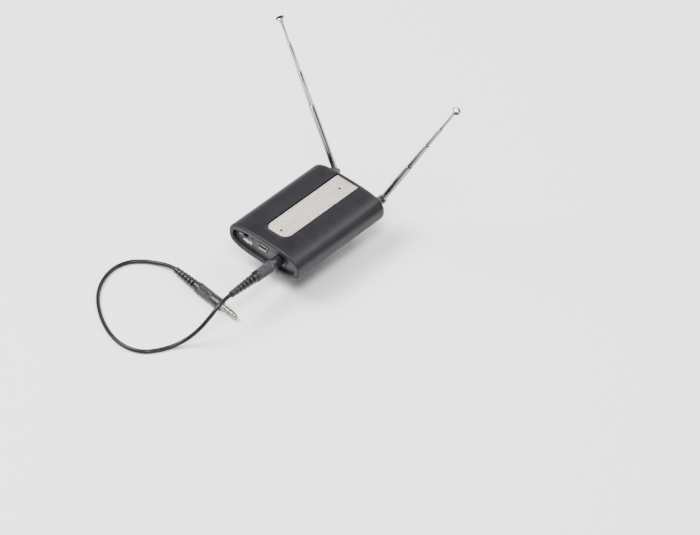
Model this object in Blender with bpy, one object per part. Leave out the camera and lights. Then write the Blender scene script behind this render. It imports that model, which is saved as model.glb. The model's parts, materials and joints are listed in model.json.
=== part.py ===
"""Clip-on wireless receiver on a shoe adapter, with two telescopic antennas and a plug-in lead.

Metres, +Z up. The origin is the middle of the shoe foot's underside. X runs across the case,
Y runs from the socket end (-Y) to the antenna end (+Y).
"""

import math

import bmesh
import bpy
from mathutils import Matrix, Vector

MM = 0.001
GAP = 0.3 * MM               # clearance between neighbouring pieces
SLIDE_FIT = 0.15 * MM        # radial clearance of pins and telescoping tubes

# Case
CASE_HALF_X = 27.4 * MM
CASE_HALF_Y = 36.4 * MM
CASE_HALF_Z = 9.5 * MM
CASE_MID_Z = 24.2 * MM
CASE_POWER = 3.0             # exponent of the flattened-oval section
SECTION_POINTS = 40
SEAM_Z = 20.6 * MM
RIM_INSET = 3.2 * MM         # rim width around the end openings
NEAR_RECESS = 2.5 * MM
FAR_RECESS = 1.5 * MM
WALL = 2.2 * MM
CAVITY_MID_Z = 23.7 * MM
CAVITY_HALF_Z = 6.6 * MM
GROOVE_HALF_Z = 7.2 * MM     # groove that holds the socket panel
FAR_LIP = 0.7 * MM
PANEL_THICK = 1.6 * MM
EDGE_ROUND = 0.7 * MM

# Inlay plate in the top of the case
PLATE_HALF_X = 8.15 * MM
PLATE_NEAR_Y = -26.4 * MM
PLATE_FAR_Y = 35.0 * MM
PLATE_TOP_Z = 32.5 * MM
PLATE_THICK = 0.9 * MM
PLATE_CORNER = 3.4 * MM
INDICATOR_X = 0.8 * MM
INDICATOR_Y = (-22.4 * MM, 26.7 * MM)
INDICATOR_RADIUS = 0.8 * MM

# Shoe adapter under the case
FOOT_SIZE = (18.2 * MM, 18.0 * MM, 2.0 * MM)
STUD_RADIUS = 3.2 * MM
WASHER_Z = (4.7 * MM, 5.7 * MM)
WHEEL_Z = (5.9 * MM, 10.3 * MM)
WHEEL_RADIUS = 11.0 * MM
WHEEL_RIDGES = 26
BASE_SIZE = (30.0 * MM, 46.0 * MM, 3.7 * MM)
BASE_MID_Z = 12.5 * MM
BASE_SCREW_Y = 17.0 * MM

# Socket end
BOARD_TOP_Z = 21.4 * MM
SOCKET_Z = 24.6 * MM
JACK_X = 11.3 * MM
JACK_BORE = 1.95 * MM
USB_X = -2.7 * MM
USB_SIZE = (7.7 * MM, 3.9 * MM)
SWITCH_X = -17.6 * MM
SWITCH_Z = 26.3 * MM
LED_X = -10.6 * MM
LED_Z = 27.1 * MM

# Case screws
SCREW_X = 20.5 * MM
SCREW_Y = 24.0 * MM
SCREW_HEAD_Z = (16.9 * MM, 18.0 * MM)
PILLAR_RADIUS = 2.6 * MM

# Antennas: pivot place, lean from upright and the distance of each joint from the pivot
PIVOT_X = 18.3 * MM
PIVOT_Y = 43.7 * MM
PIVOT_Z = 23.5 * MM
ANTENNAS = {
    "left": {"side": -1, "lean": -25.3, "joints": (43.8, 66.1, 84.8, 101.1)},
    "right": {"side": 1, "lean": 29.3, "joints": (43.8, 71.2, 92.0, 114.9)},
}
TUBE_OUTER = (1.75 * MM, 1.42 * MM, 1.09 * MM, 0.76 * MM)
TUBE_WALL = 0.18 * MM
TUBE_LENGTH = (0.0, 38.0 * MM, 36.5 * MM, 35.0 * MM)
CAP_RADIUS = 2.6 * MM
TONGUE_HALF = 1.1 * MM
EAR_THICK = 1.3 * MM
EAR_RADIUS = 2.5 * MM
PIN_RADIUS = 0.7 * MM

# Lead: 3.5 mm plugs at both ends
PLUG_FRONT_Y = -35.2 * MM
PLUG_BARREL = 20.0 * MM
PLUG_RADIUS = 3.5 * MM
RELIEF_LENGTH = 20.0 * MM
RELIEF_RIBS = 6
PIN_LENGTH = 14.0 * MM
LEAD_RADIUS = 1.25 * MM
FAR_PLUG_HEADING = -6.0      # degrees from +X
FAR_PLUG_FRONT = (-2.8 * MM, -69.1 * MM, 3.6 * MM)
LEAD_POINTS = 42
LEAD_ROUTE = [               # millimetres
    (11.3, -73.5, 24.6), (11.3, -79.0, 24.4), (11.3, -85.2, 22.7), (10.6, -91.4, 18.4),
    (8.6, -96.6, 12.8), (5.6, -101.4, 7.5), (2.2, -106.4, 3.6), (-1.2, -112.2, 1.6),
    (-4.6, -118.6, 1.3), (-9.6, -124.9, 1.3), (-17.0, -128.6, 1.3), (-26.0, -129.2, 1.3),
    (-35.4, -127.0, 1.3), (-44.6, -122.8, 1.3), (-53.0, -117.3, 1.3), (-60.4, -110.8, 1.3),
    (-66.2, -103.2, 1.3), (-70.0, -94.5, 1.3), (-71.2, -85.6, 1.3), (-68.8, -77.2, 1.3),
    (-63.2, -71.0, 1.4), (-56.4, -67.2, 1.9), (-50.0, -65.3, 2.9), (-45.0, -64.7, 3.5),
    (-40.95, -65.09, 3.6),
]

FINISHES = {                 # colour, roughness, metallic
    "case_black": ((0.022, 0.022, 0.025), 0.42, 0.0),
    "panel_grey": ((0.045, 0.047, 0.050), 0.55, 0.0),
    "inlay": ((0.62, 0.58, 0.55), 0.55, 0.2),
    "smoked_lens": ((0.10, 0.03, 0.03), 0.20, 0.0),
    "board_green": ((0.02, 0.09, 0.05), 0.50, 0.0),
    "foil_silver": ((0.55, 0.56, 0.58), 0.40, 1.0),
    "nickel": ((0.60, 0.57, 0.50), 0.25, 1.0),
    "black_plastic": ((0.015, 0.015, 0.016), 0.35, 0.0),
    "screw_steel": ((0.20, 0.20, 0.21), 0.35, 1.0),
    "chrome": ((0.75, 0.76, 0.78), 0.08, 1.0),
    "anodised": ((0.05, 0.05, 0.055), 0.35, 1.0),
    "grip_grey": ((0.20, 0.20, 0.21), 0.40, 0.6),
    "lead_black": ((0.018, 0.018, 0.018), 0.45, 0.0),
}


# ---------------------------------------------------------------- building blocks

def finish(name):
    """Material shared by every piece with the same finish."""
    material = bpy.data.materials.get(name)
    if material is None:
        material = bpy.data.materials.new(name)
        material.use_nodes = True
        colour, roughness, metallic = FINISHES[name]
        shader = material.node_tree.nodes["Principled BSDF"]
        shader.inputs["Base Color"].default_value = (*colour, 1.0)
        shader.inputs["Roughness"].default_value = roughness
        shader.inputs["Metallic"].default_value = metallic
        material.diffuse_color = (*colour, 1.0)
    return material


def add_object(name, bm, finish_name, parent=None):
    """Turn a bmesh into a named object with outward faces and smooth round sides."""
    bmesh.ops.recalc_face_normals(bm, faces=bm.faces)
    mesh = bpy.data.meshes.new(name)
    bm.to_mesh(mesh)
    bm.free()
    mesh.shade_smooth()
    mesh.set_sharp_from_angle(angle=math.radians(35))
    obj = bpy.data.objects.new(name, mesh)
    bpy.context.scene.collection.objects.link(obj)
    mesh.materials.append(finish(finish_name))
    obj.parent = parent
    return obj


def place(obj, location, rotation=(0.0, 0.0, 0.0)):
    obj.location = location
    obj.rotation_euler = rotation
    return obj


def skin(bm, rings, closed=False):
    """Quads between rings of equal length; end rings are capped unless the rings close up."""
    loops = [[bm.verts.new(point) for point in ring] for ring in rings]
    pairs = list(zip(loops, loops[1:]))
    if closed:
        pairs.append((loops[-1], loops[0]))
    else:
        bm.faces.new(loops[0])
        bm.faces.new(loops[-1])
    for lower, upper in pairs:
        for i in range(len(lower)):
            j = (i + 1) % len(lower)
            bm.faces.new((lower[i], lower[j], upper[j], upper[i]))


def oval(half_x, half_z, mid_z, y):
    """One ring of the case section: a superellipse in the XZ plane."""
    ring = []
    for i in range(SECTION_POINTS):
        angle = 2 * math.pi * (i + 0.5) / SECTION_POINTS
        c = math.cos(angle)
        s = math.sin(angle)
        x = math.copysign(abs(c) ** (2 / CASE_POWER), c) * half_x
        z = math.copysign(abs(s) ** (2 / CASE_POWER), s) * half_z
        ring.append((x, y, mid_z + z))
    return ring


def oval_bar(name, stations, finish_name):
    """Solid lofted along Y through stations of (y, half_x, half_z, mid_z)."""
    bm = bmesh.new()
    skin(bm, [oval(half_x, half_z, mid_z, y) for y, half_x, half_z, mid_z in stations])
    return add_object(name, bm, finish_name)


def turned(name, profile, finish_name, parent=None, segments=16, bored=False):
    """Solid turned about local Z from (radius, height) points.

    A solid piece's profile starts and ends with a face centred on the axis; a bored one's
    profile is a closed outline that never meets the axis.
    """
    bm = bmesh.new()
    rings = []
    for radius, height in profile:
        ring = []
        for i in range(segments):
            angle = 2 * math.pi * i / segments
            ring.append((radius * math.cos(angle), radius * math.sin(angle), height))
        rings.append(ring)
    skin(bm, rings, closed=bored)
    return add_object(name, bm, finish_name, parent)


def block(name, size, finish_name, bevel=0.0, parent=None):
    """Box centred on its origin, with all edges bevelled if a width is given."""
    bm = bmesh.new()
    bmesh.ops.create_cube(bm, size=1.0)
    bmesh.ops.scale(bm, vec=size, verts=bm.verts)
    if bevel:
        bmesh.ops.bevel(bm, geom=bm.edges[:], offset=bevel, segments=2, affect='EDGES',
                        profile=0.5)
    return add_object(name, bm, finish_name, parent)


def rounded_plate(name, low, high, corners, thick, finish_name, parent=None):
    """Upright prism of a rectangle whose corners (in order from low x, low y) may be round."""
    corner_at = [(low[0], low[1], 1, 1), (high[0], low[1], -1, 1),
                 (high[0], high[1], -1, -1), (low[0], high[1], 1, -1)]
    outline = []
    for number, (x, y, inward_x, inward_y) in enumerate(corner_at):
        radius = corners[number]
        if radius == 0:
            outline.append((x, y))
            continue
        centre = (x + inward_x * radius, y + inward_y * radius)
        start = math.pi * (1 + number * 0.5)
        for step in range(7):
            angle = start + step / 6 * math.pi / 2
            outline.append((centre[0] + radius * math.cos(angle),
                            centre[1] + radius * math.sin(angle)))
    bm = bmesh.new()
    skin(bm, [[(x, y, z) for x, y in outline] for z in (-thick / 2, thick / 2)])
    return add_object(name, bm, finish_name, parent)


def cut(target, tool, operation='DIFFERENCE'):
    """Boolean on target; the tool stays in the file as a hidden wire guide."""
    tool.hide_render = True
    tool.display_type = 'WIRE'
    modifier = target.modifiers.new(tool.name, 'BOOLEAN')
    modifier.operation = operation
    modifier.object = tool
    modifier.solver = 'EXACT'


def cylinder_tool(name, radius, low, high, parent=None):
    return turned(name, [(radius, low), (radius, high)], "black_plastic", parent)


TO_PLUS_Y = (-math.pi / 2, 0.0, 0.0)     # turns local +Z onto +Y
TO_PLUS_X = (0.0, math.pi / 2, 0.0)      # turns local +Z onto +X


# ---------------------------------------------------------------- case

def case_blank(name):
    """Hollow case body, open at both ends, before it is parted at the seam."""
    outer = [
        (-CASE_HALF_Y, EDGE_ROUND), (-CASE_HALF_Y + 0.3 * EDGE_ROUND, 0.3 * EDGE_ROUND),
        (-CASE_HALF_Y + EDGE_ROUND, 0.0), (CASE_HALF_Y - EDGE_ROUND, 0.0),
        (CASE_HALF_Y - 0.3 * EDGE_ROUND, 0.3 * EDGE_ROUND), (CASE_HALF_Y, EDGE_ROUND),
    ]
    case = oval_bar(name, [(y, CASE_HALF_X - inset, CASE_HALF_Z - inset, CASE_MID_Z)
                           for y, inset in outer], "case_black")
    mouth_x = CASE_HALF_X - RIM_INSET
    cavity_x = CASE_HALF_X - WALL
    near_mouth = (mouth_x, CASE_HALF_Z - RIM_INSET, CASE_MID_Z)
    groove = (cavity_x + GAP, GROOVE_HALF_Z, CASE_MID_Z)
    cavity = (cavity_x, CAVITY_HALF_Z, CAVITY_MID_Z)
    far_mouth = (mouth_x, CAVITY_HALF_Z - FAR_LIP, CAVITY_MID_Z)
    near_step = -CASE_HALF_Y + NEAR_RECESS - GAP
    groove_end = near_step + PANEL_THICK + 2 * GAP
    far_step = CASE_HALF_Y - FAR_RECESS + GAP
    hollow = oval_bar(name + "_hollow_tool", [
        (-CASE_HALF_Y - MM, *near_mouth), (near_step, *near_mouth), (near_step, *groove),
        (groove_end, *groove), (groove_end, *cavity), (far_step, *cavity),
        (far_step, *far_mouth), (CASE_HALF_Y + MM, *far_mouth)], "case_black")
    cut(case, hollow)
    return case


def half_space(name, z_low, z_high):
    tool = block(name, (0.08, 0.1, z_high - z_low), "case_black")
    return place(tool, (0, 0, (z_low + z_high) / 2))


def screw_places():
    for index, (side_x, side_y) in enumerate([(-1, -1), (1, -1), (-1, 1), (1, 1)], start=1):
        yield index, side_x * SCREW_X, side_y * SCREW_Y


def upper_shell():
    shell = case_blank("upper_shell")
    for index, x, y in screw_places():
        pillar = cylinder_tool(f"upper_pillar_{index}", PILLAR_RADIUS, -1 * MM, 9 * MM)
        place(pillar, (x, y, SEAM_Z))
        cut(shell, pillar, 'UNION')
    cut(shell, half_space("upper_seam_tool", 0.0, SEAM_Z + GAP / 2))
    for index, x, y in screw_places():
        pilot = cylinder_tool(f"upper_pilot_{index}", 1.0 * MM, -1 * MM, 7 * MM)
        cut(shell, place(pilot, (x, y, SEAM_Z)))
    margin = 0.4 * MM
    depth = 4 * MM
    pocket = rounded_plate(
        "plate_pocket_tool", (-PLATE_HALF_X - margin, PLATE_NEAR_Y - margin),
        (PLATE_HALF_X + margin, PLATE_FAR_Y + margin),
        (PLATE_CORNER, PLATE_CORNER, 0, 0), depth, "case_black")
    floor_z = PLATE_TOP_Z - PLATE_THICK - GAP
    cut(shell, place(pocket, (0, 0, floor_z + depth / 2)))
    for index, y in enumerate(INDICATOR_Y):
        hole = cylinder_tool(f"indicator_tool_{index}", INDICATOR_RADIUS + GAP, -2 * MM, 2 * MM)
        cut(shell, place(hole, (INDICATOR_X, y, floor_z)))


def lower_shell():
    shell = case_blank("lower_shell")
    for index, x, y in screw_places():
        pillar = cylinder_tool(f"lower_pillar_{index}", PILLAR_RADIUS, -3 * MM, 1 * MM)
        place(pillar, (x, y, SEAM_Z))
        cut(shell, pillar, 'UNION')
    cut(shell, half_space("lower_seam_tool", SEAM_Z - GAP / 2, 60 * MM))
    for index, x, y in screw_places():
        recess = turned(f"lower_recess_{index}", [
            (2.1 * MM, -6 * MM), (2.1 * MM, GAP), (1.0 * MM, GAP), (1.0 * MM, 6 * MM)],
            "case_black")
        cut(shell, place(recess, (x, y, SCREW_HEAD_Z[1])))
    for index, side in enumerate((-1, 1), start=1):
        hole = cylinder_tool(f"base_bore_{index}", 1.4 * MM, -5 * MM, 5 * MM)
        cut(shell, place(hole, (0, side * BASE_SCREW_Y, CASE_MID_Z - CASE_HALF_Z)))


def case_screws():
    low, high = SCREW_HEAD_Z
    for index, x, y in screw_places():
        screw = turned(f"case_screw_{index}", [
            (1.5 * MM, low), (1.75 * MM, low + 0.3 * MM), (1.75 * MM, high), (0.8 * MM, high),
            (0.8 * MM, high + 8 * MM)], "screw_steel", segments=12)
        place(screw, (x, y, 0))


def end_panel(name, low_y, half_z, mid_z):
    """Oval panel held behind the lip of the case, from low_y towards +Y."""
    half_x = CASE_HALF_X - WALL - GAP
    return oval_bar(name, [(y, half_x, half_z - GAP, mid_z)
                           for y in (low_y, low_y + PANEL_THICK)], "panel_grey")


def near_panel():
    front = -CASE_HALF_Y + NEAR_RECESS
    panel = end_panel("socket_panel", front, GROOVE_HALF_Z, CASE_MID_Z)
    usb = block("usb_window_tool", (USB_SIZE[0] + 2 * GAP, 10 * MM, USB_SIZE[1] + 2 * GAP),
                "panel_grey")
    cut(panel, place(usb, (USB_X, front, SOCKET_Z)))
    jack = cylinder_tool("jack_window_tool", 3.2 * MM, -5 * MM, 5 * MM)
    cut(panel, place(jack, (JACK_X, front, SOCKET_Z), TO_PLUS_Y))
    slot = block("switch_window_tool", (6.6 * MM, 10 * MM, 3.0 * MM), "panel_grey")
    cut(panel, place(slot, (SWITCH_X, front, SWITCH_Z)))
    led = cylinder_tool("led_window_tool", 1.0 * MM, -5 * MM, 5 * MM)
    cut(panel, place(led, (LED_X, front, LED_Z), TO_PLUS_Y))


def far_panel():
    front = CASE_HALF_Y - FAR_RECESS
    panel = end_panel("antenna_panel", front - PANEL_THICK, CAVITY_HALF_Z, CAVITY_MID_Z)
    for name, antenna in ANTENNAS.items():
        hole = cylinder_tool(f"{name}_ferrule_tool", 3.2 * MM, -5 * MM, 5 * MM)
        cut(panel, place(hole, (antenna["side"] * PIVOT_X, front, PIVOT_Z), TO_PLUS_Y))


def inlay_plate():
    plate = rounded_plate("inlay_plate", (-PLATE_HALF_X, PLATE_NEAR_Y),
                          (PLATE_HALF_X, PLATE_FAR_Y), (PLATE_CORNER, PLATE_CORNER, 0, 0),
                          PLATE_THICK, "inlay")
    place(plate, (0, 0, PLATE_TOP_Z - PLATE_THICK / 2))
    for index, y in enumerate(INDICATOR_Y, start=1):
        hole = cylinder_tool(f"plate_hole_{index}", INDICATOR_RADIUS + GAP, -2 * MM, 2 * MM,
                             plate)
        cut(plate, place(hole, (INDICATOR_X, y, 0)))
        window = turned(f"indicator_window_{index}", [
            (INDICATOR_RADIUS, PLATE_TOP_Z - 2.4 * MM), (INDICATOR_RADIUS, PLATE_TOP_Z - 0.35 * MM),
            (INDICATOR_RADIUS - 0.2 * MM, PLATE_TOP_Z - 0.15 * MM)], "smoked_lens")
        place(window, (INDICATOR_X, y, 0))


# ---------------------------------------------------------------- inside the case

def electronics():
    board_thick = 1.0 * MM
    board = block("circuit_board", (33 * MM, 57 * MM, board_thick), "board_green")
    place(board, (0, -2 * MM, BOARD_TOP_Z - board_thick / 2))
    battery_size = (30 * MM, 38 * MM, 4.0 * MM)
    battery = block("battery_cell", battery_size, "foil_silver", bevel=0.8 * MM)
    place(battery, (0, 4 * MM, 27.4 * MM))
    shield_size = (24 * MM, 20 * MM, 2.0 * MM)
    shield = block("radio_shield", shield_size, "foil_silver", bevel=0.25 * MM)
    place(shield, (0, 14 * MM, BOARD_TOP_Z + GAP + shield_size[2] / 2))


def usb_socket():
    """Folded steel shell, open at the front, round a plastic contact tongue."""
    front_y = -CASE_HALF_Y + NEAR_RECESS - 0.4 * MM
    length = 7.0 * MM
    wall = 0.4 * MM
    shell = block("usb_shell", (USB_SIZE[0], length, USB_SIZE[1]), "nickel")
    place(shell, (USB_X, front_y + length / 2, SOCKET_Z))
    hollow = block("usb_hollow_tool", (USB_SIZE[0] - 2 * wall, length, USB_SIZE[1] - 2 * wall),
                   "nickel")
    cut(shell, place(hollow, (USB_X, front_y + length / 2 - 0.8 * MM, SOCKET_Z)))
    tongue = block("usb_tongue", (5.0 * MM, 5.2 * MM, 0.9 * MM), "black_plastic",
                   bevel=0.15 * MM)
    place(tongue, (USB_X, front_y + 3.3 * MM, SOCKET_Z + 0.5 * MM))


def jack_socket():
    panel_front = -CASE_HALF_Y + NEAR_RECESS
    collar = turned("jack_collar", [
        (JACK_BORE, -1.0 * MM), (4.2 * MM, -1.0 * MM), (4.5 * MM, -0.7 * MM), (4.5 * MM, -GAP),
        (2.9 * MM, -GAP), (2.9 * MM, PANEL_THICK), (JACK_BORE, PANEL_THICK)],
        "black_plastic", bored=True)
    place(collar, (JACK_X, panel_front, SOCKET_Z), TO_PLUS_Y)
    body_size = (7.6 * MM, 14 * MM, 6.8 * MM)
    body_z = BOARD_TOP_Z + GAP + body_size[2] / 2
    body = block("jack_body", body_size, "black_plastic", bevel=0.3 * MM)
    start_y = panel_front + PANEL_THICK + GAP
    place(body, (JACK_X, start_y + body_size[1] / 2, body_z))
    bore = cylinder_tool("jack_bore_tool", JACK_BORE, -1 * MM, 12.6 * MM)
    cut(body, place(bore, (JACK_X, start_y, SOCKET_Z), TO_PLUS_Y))


def power_switch():
    """Slide switch: housing behind the panel, lever through its window."""
    back_y = -CASE_HALF_Y + NEAR_RECESS + PANEL_THICK
    housing = block("switch_housing", (8.4 * MM, 4.0 * MM, 3.4 * MM), "foil_silver",
                    bevel=0.2 * MM)
    place(housing, (SWITCH_X, back_y + 1.0 * MM + 2.0 * MM, SWITCH_Z))
    lever = block("switch_lever", (2.6 * MM, 3.6 * MM, 2.2 * MM), "black_plastic",
                  bevel=0.25 * MM)
    place(lever, (SWITCH_X - 1.5 * MM, back_y - 1.2 * MM, SWITCH_Z))


def status_led():
    lens = turned("status_led", [
        (0.7 * MM, 3.0 * MM), (0.7 * MM, 0.2 * MM), (0.45 * MM, -0.1 * MM)], "smoked_lens")
    place(lens, (LED_X, -CASE_HALF_Y + NEAR_RECESS, LED_Z), TO_PLUS_Y)


# ---------------------------------------------------------------- shoe adapter

def shoe_adapter():
    foot = block("shoe_foot", FOOT_SIZE, "anodised", bevel=0.35 * MM)
    place(foot, (0, 0, FOOT_SIZE[2] / 2))
    stud = cylinder_tool("stud_tool", STUD_RADIUS, 0.5 * FOOT_SIZE[2], 12.6 * MM)
    cut(foot, stud, 'UNION')

    bore = STUD_RADIUS + GAP
    turned("pressure_washer", [
        (bore, WASHER_Z[0]), (8.6 * MM, WASHER_Z[0]), (9.0 * MM, WASHER_Z[0] + 0.3 * MM),
        (9.0 * MM, WASHER_Z[1]), (bore, WASHER_Z[1])], "screw_steel", segments=20, bored=True)

    base = rounded_plate("adapter_base", (-BASE_SIZE[0] / 2, -BASE_SIZE[1] / 2),
                         (BASE_SIZE[0] / 2, BASE_SIZE[1] / 2), (4 * MM,) * 4, BASE_SIZE[2],
                         "case_black")
    place(base, (0, 0, BASE_MID_Z))
    socket = cylinder_tool("stud_socket_tool", bore, -3 * MM, 0.6 * MM, base)
    cut(base, socket)
    for index, side in enumerate((-1, 1), start=1):
        recess = turned(f"base_recess_{index}", [
            (2.8 * MM, -5 * MM), (2.8 * MM, 0), (1.4 * MM, 0), (1.4 * MM, 5 * MM)],
            "case_black", base)
        cut(base, place(recess, (0, side * BASE_SCREW_Y, 0)))
        head_low = BASE_MID_Z - 1.6 * MM
        head_high = BASE_MID_Z - GAP
        screw = turned(f"adapter_screw_{index}", [
            (2.2 * MM, head_low), (2.5 * MM, head_low + 0.3 * MM), (2.5 * MM, head_high),
            (1.1 * MM, head_high), (1.1 * MM, 17.0 * MM)], "screw_steel", segments=12)
        place(screw, (0, side * BASE_SCREW_Y, 0))


def lock_wheel():
    """Knurled nut: a ridged outline with chamfered faces and a clear bore for the stud."""
    low, high = WHEEL_Z
    chamfer = 0.5 * MM
    rings = []
    for height, inset in ((low, chamfer), (low + chamfer, 0), (high - chamfer, 0), (high, chamfer)):
        ring = []
        for i in range(2 * WHEEL_RIDGES):
            angle = math.pi * i / WHEEL_RIDGES
            radius = WHEEL_RADIUS - inset - (0.0 if i % 2 else 0.45 * MM)
            ring.append((radius * math.cos(angle), radius * math.sin(angle), height))
        rings.append(ring)
    bm = bmesh.new()
    skin(bm, rings)
    wheel = add_object("lock_wheel", bm, "anodised")
    cut(wheel, cylinder_tool("wheel_bore_tool", STUD_RADIUS + GAP, 0, 20 * MM))


# ---------------------------------------------------------------- antennas

def ferrule(name, x):
    """Fixed bush through the antenna panel, with its nut inside."""
    face_y = CASE_HALF_Y - FAR_RECESS
    bush = turned(f"{name}_antenna_ferrule", [
        (2.0 * MM, -3.4 * MM), (2.9 * MM, -3.4 * MM), (2.9 * MM, GAP), (3.9 * MM, GAP),
        (3.9 * MM, 1.6 * MM), (3.6 * MM, 2.0 * MM), (2.0 * MM, 2.0 * MM)], "chrome", bored=True)
    place(bush, (x, face_y, PIVOT_Z), TO_PLUS_Y)
    nut = turned(f"{name}_antenna_nut", [
        (3.1 * MM, 0), (3.8 * MM, 0), (3.8 * MM, 1.2 * MM), (3.1 * MM, 1.2 * MM)],
        "screw_steel", segments=12, bored=True)
    place(nut, (x, face_y - PANEL_THICK - GAP - 1.2 * MM, PIVOT_Z), TO_PLUS_Y)


def tongue_outline(name, radius, half_thick, reach, parent, finish_name):
    """Flat lug across local X: round about the origin and square towards the reach end."""
    outline = [(-radius, reach)]
    for step in range(13):
        angle = math.pi + step / 12 * math.pi
        outline.append((radius * math.cos(angle), radius * math.sin(angle)))
    outline.append((radius, reach))
    bm = bmesh.new()
    skin(bm, [[(x, y, z) for y, z in outline] for x in (-half_thick, half_thick)])
    return add_object(name, bm, finish_name, parent)


def swivel_yoke(name, hub):
    """Spindle and disc turning about Y, with two ears that hold the mast's hinge pin."""
    spindle_end = CASE_HALF_Y - FAR_RECESS - 3.0 * MM - PIVOT_Y
    disc_low = CASE_HALF_Y - FAR_RECESS + 2.3 * MM - PIVOT_Y
    disc_high = -EAR_RADIUS - 0.3 * MM
    yoke = turned(f"{name}_swivel_yoke", [
        (1.85 * MM, spindle_end), (1.85 * MM, disc_low), (3.3 * MM, disc_low),
        (3.6 * MM, disc_low + 0.3 * MM), (3.6 * MM, disc_high - 0.3 * MM),
        (3.3 * MM, disc_high)], "chrome", hub)
    place(yoke, (0, 0, 0), TO_PLUS_Y)
    slot_half = TONGUE_HALF + GAP / 2
    ears = tongue_outline(f"{name}_ears_tool", EAR_RADIUS, slot_half + EAR_THICK,
                          -disc_high + 0.5 * MM, hub, "chrome")
    place(ears, (0, 0, 0), (math.pi / 2, 0, 0))
    cut(yoke, ears, 'UNION')
    slot_low = disc_high
    slot = block(f"{name}_slot_tool", (2 * slot_half, 10 * MM, 10 * MM), "chrome", parent=hub)
    cut(yoke, place(slot, (0, slot_low + 5 * MM, 0)))
    hole = cylinder_tool(f"{name}_ear_hole_tool", PIN_RADIUS + SLIDE_FIT, -5 * MM, 5 * MM, hub)
    cut(yoke, place(hole, (0, 0, 0), TO_PLUS_X))
    pin_half = slot_half + EAR_THICK + 0.25 * MM
    pin = turned(f"{name}_hinge_pin", [
        (PIN_RADIUS - 0.1 * MM, -pin_half), (PIN_RADIUS, -pin_half + 0.1 * MM),
        (PIN_RADIUS, pin_half - 0.1 * MM), (PIN_RADIUS - 0.1 * MM, pin_half)],
        "screw_steel", hub, 12)
    place(pin, (0, 0, 0), TO_PLUS_X)


def mast(name, hub, top):
    """Lowest tube with the flat tongue that turns on the hinge pin."""
    outer = TUBE_OUTER[0]
    bore = outer - TUBE_WALL
    collar = 4.4 * MM
    piece = turned(f"{name}_mast", [
        (1.6 * MM, collar), (2.1 * MM, collar + 0.4 * MM), (2.1 * MM, collar + 2.6 * MM),
        (outer, collar + 3.0 * MM), (outer, top - 0.25 * MM), (outer - 0.1 * MM, top),
        (bore, top), (bore, collar + 2.2 * MM)], "chrome", hub, 14)
    lug = tongue_outline(f"{name}_tongue_tool", EAR_RADIUS - GAP, TONGUE_HALF,
                         collar + 1.0 * MM, hub, "chrome")
    cut(piece, lug, 'UNION')
    hole = cylinder_tool(f"{name}_tongue_hole_tool", PIN_RADIUS + SLIDE_FIT, -5 * MM, 5 * MM, hub)
    cut(piece, place(hole, (0, 0, 0), TO_PLUS_X))


def inner_tube(name, number, hub, top):
    outer = TUBE_OUTER[number]
    bottom = top - TUBE_LENGTH[number]
    bore = outer - TUBE_WALL
    turned(f"{name}_tube_{number + 1}", [
        (outer - 0.15 * MM, bottom), (outer, bottom + 0.3 * MM), (outer, top - 0.25 * MM),
        (outer - 0.1 * MM, top), (bore, top), (bore, bottom + 1.5 * MM)], "chrome", hub, 14)


def tip_rod(name, hub, top):
    """Solid top rod and the flat button on its end."""
    outer = TUBE_OUTER[3]
    rod_top = top - 0.6 * MM
    turned(f"{name}_tip_rod", [
        (outer - 0.15 * MM, rod_top - TUBE_LENGTH[3]), (outer, rod_top - TUBE_LENGTH[3] + 0.3 * MM),
        (outer, rod_top)], "chrome", hub, 14)
    hole = outer + 0.1 * MM
    neck = 1.25 * MM
    turned(f"{name}_tip_button", [
        (hole, top - 0.3 * MM), (hole, top - 3.2 * MM), (neck, top - 3.2 * MM),
        (neck, top - 0.8 * MM), (CAP_RADIUS - 0.3 * MM, top - 0.7 * MM),
        (CAP_RADIUS, top - 0.4 * MM), (CAP_RADIUS, top + 0.3 * MM),
        (CAP_RADIUS - 0.35 * MM, top + 0.65 * MM)], "chrome", hub)


def antenna(name, settings):
    x = settings["side"] * PIVOT_X
    ferrule(name, x)
    hub = bpy.data.objects.new(f"{name}_antenna_hub", None)
    bpy.context.scene.collection.objects.link(hub)
    place(hub, (x, PIVOT_Y, PIVOT_Z), (0, math.radians(settings["lean"]), 0))
    joints = [distance * MM for distance in settings["joints"]]
    swivel_yoke(name, hub)
    mast(name, hub, joints[0])
    inner_tube(name, 1, hub, joints[1])
    inner_tube(name, 2, hub, joints[2])
    tip_rod(name, hub, joints[3])


# ---------------------------------------------------------------- lead

def relief_profile():
    """Ribbed strain relief from its root at z = 0 back to the lead, as (radius, height)."""
    root_radius = 2.6 * MM
    profile = [(root_radius, 1.2 * MM), (root_radius, 0.0)]
    pitch = (RELIEF_LENGTH - 2.0 * MM) / RELIEF_RIBS
    for rib in range(RELIEF_RIBS):
        share = rib / (RELIEF_RIBS - 1)
        top = (2.75 - 0.65 * share) * MM
        neck = (2.05 - 0.30 * share) * MM
        start = -0.9 * MM - rib * pitch
        profile += [(neck, start), (top, start - 0.4 * MM), (top, start - 1.6 * MM)]
    end = -RELIEF_LENGTH
    profile += [(1.75 * MM, end), (LEAD_RADIUS + GAP, end), (LEAD_RADIUS + GAP, end + 2.0 * MM)]
    return profile


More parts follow.
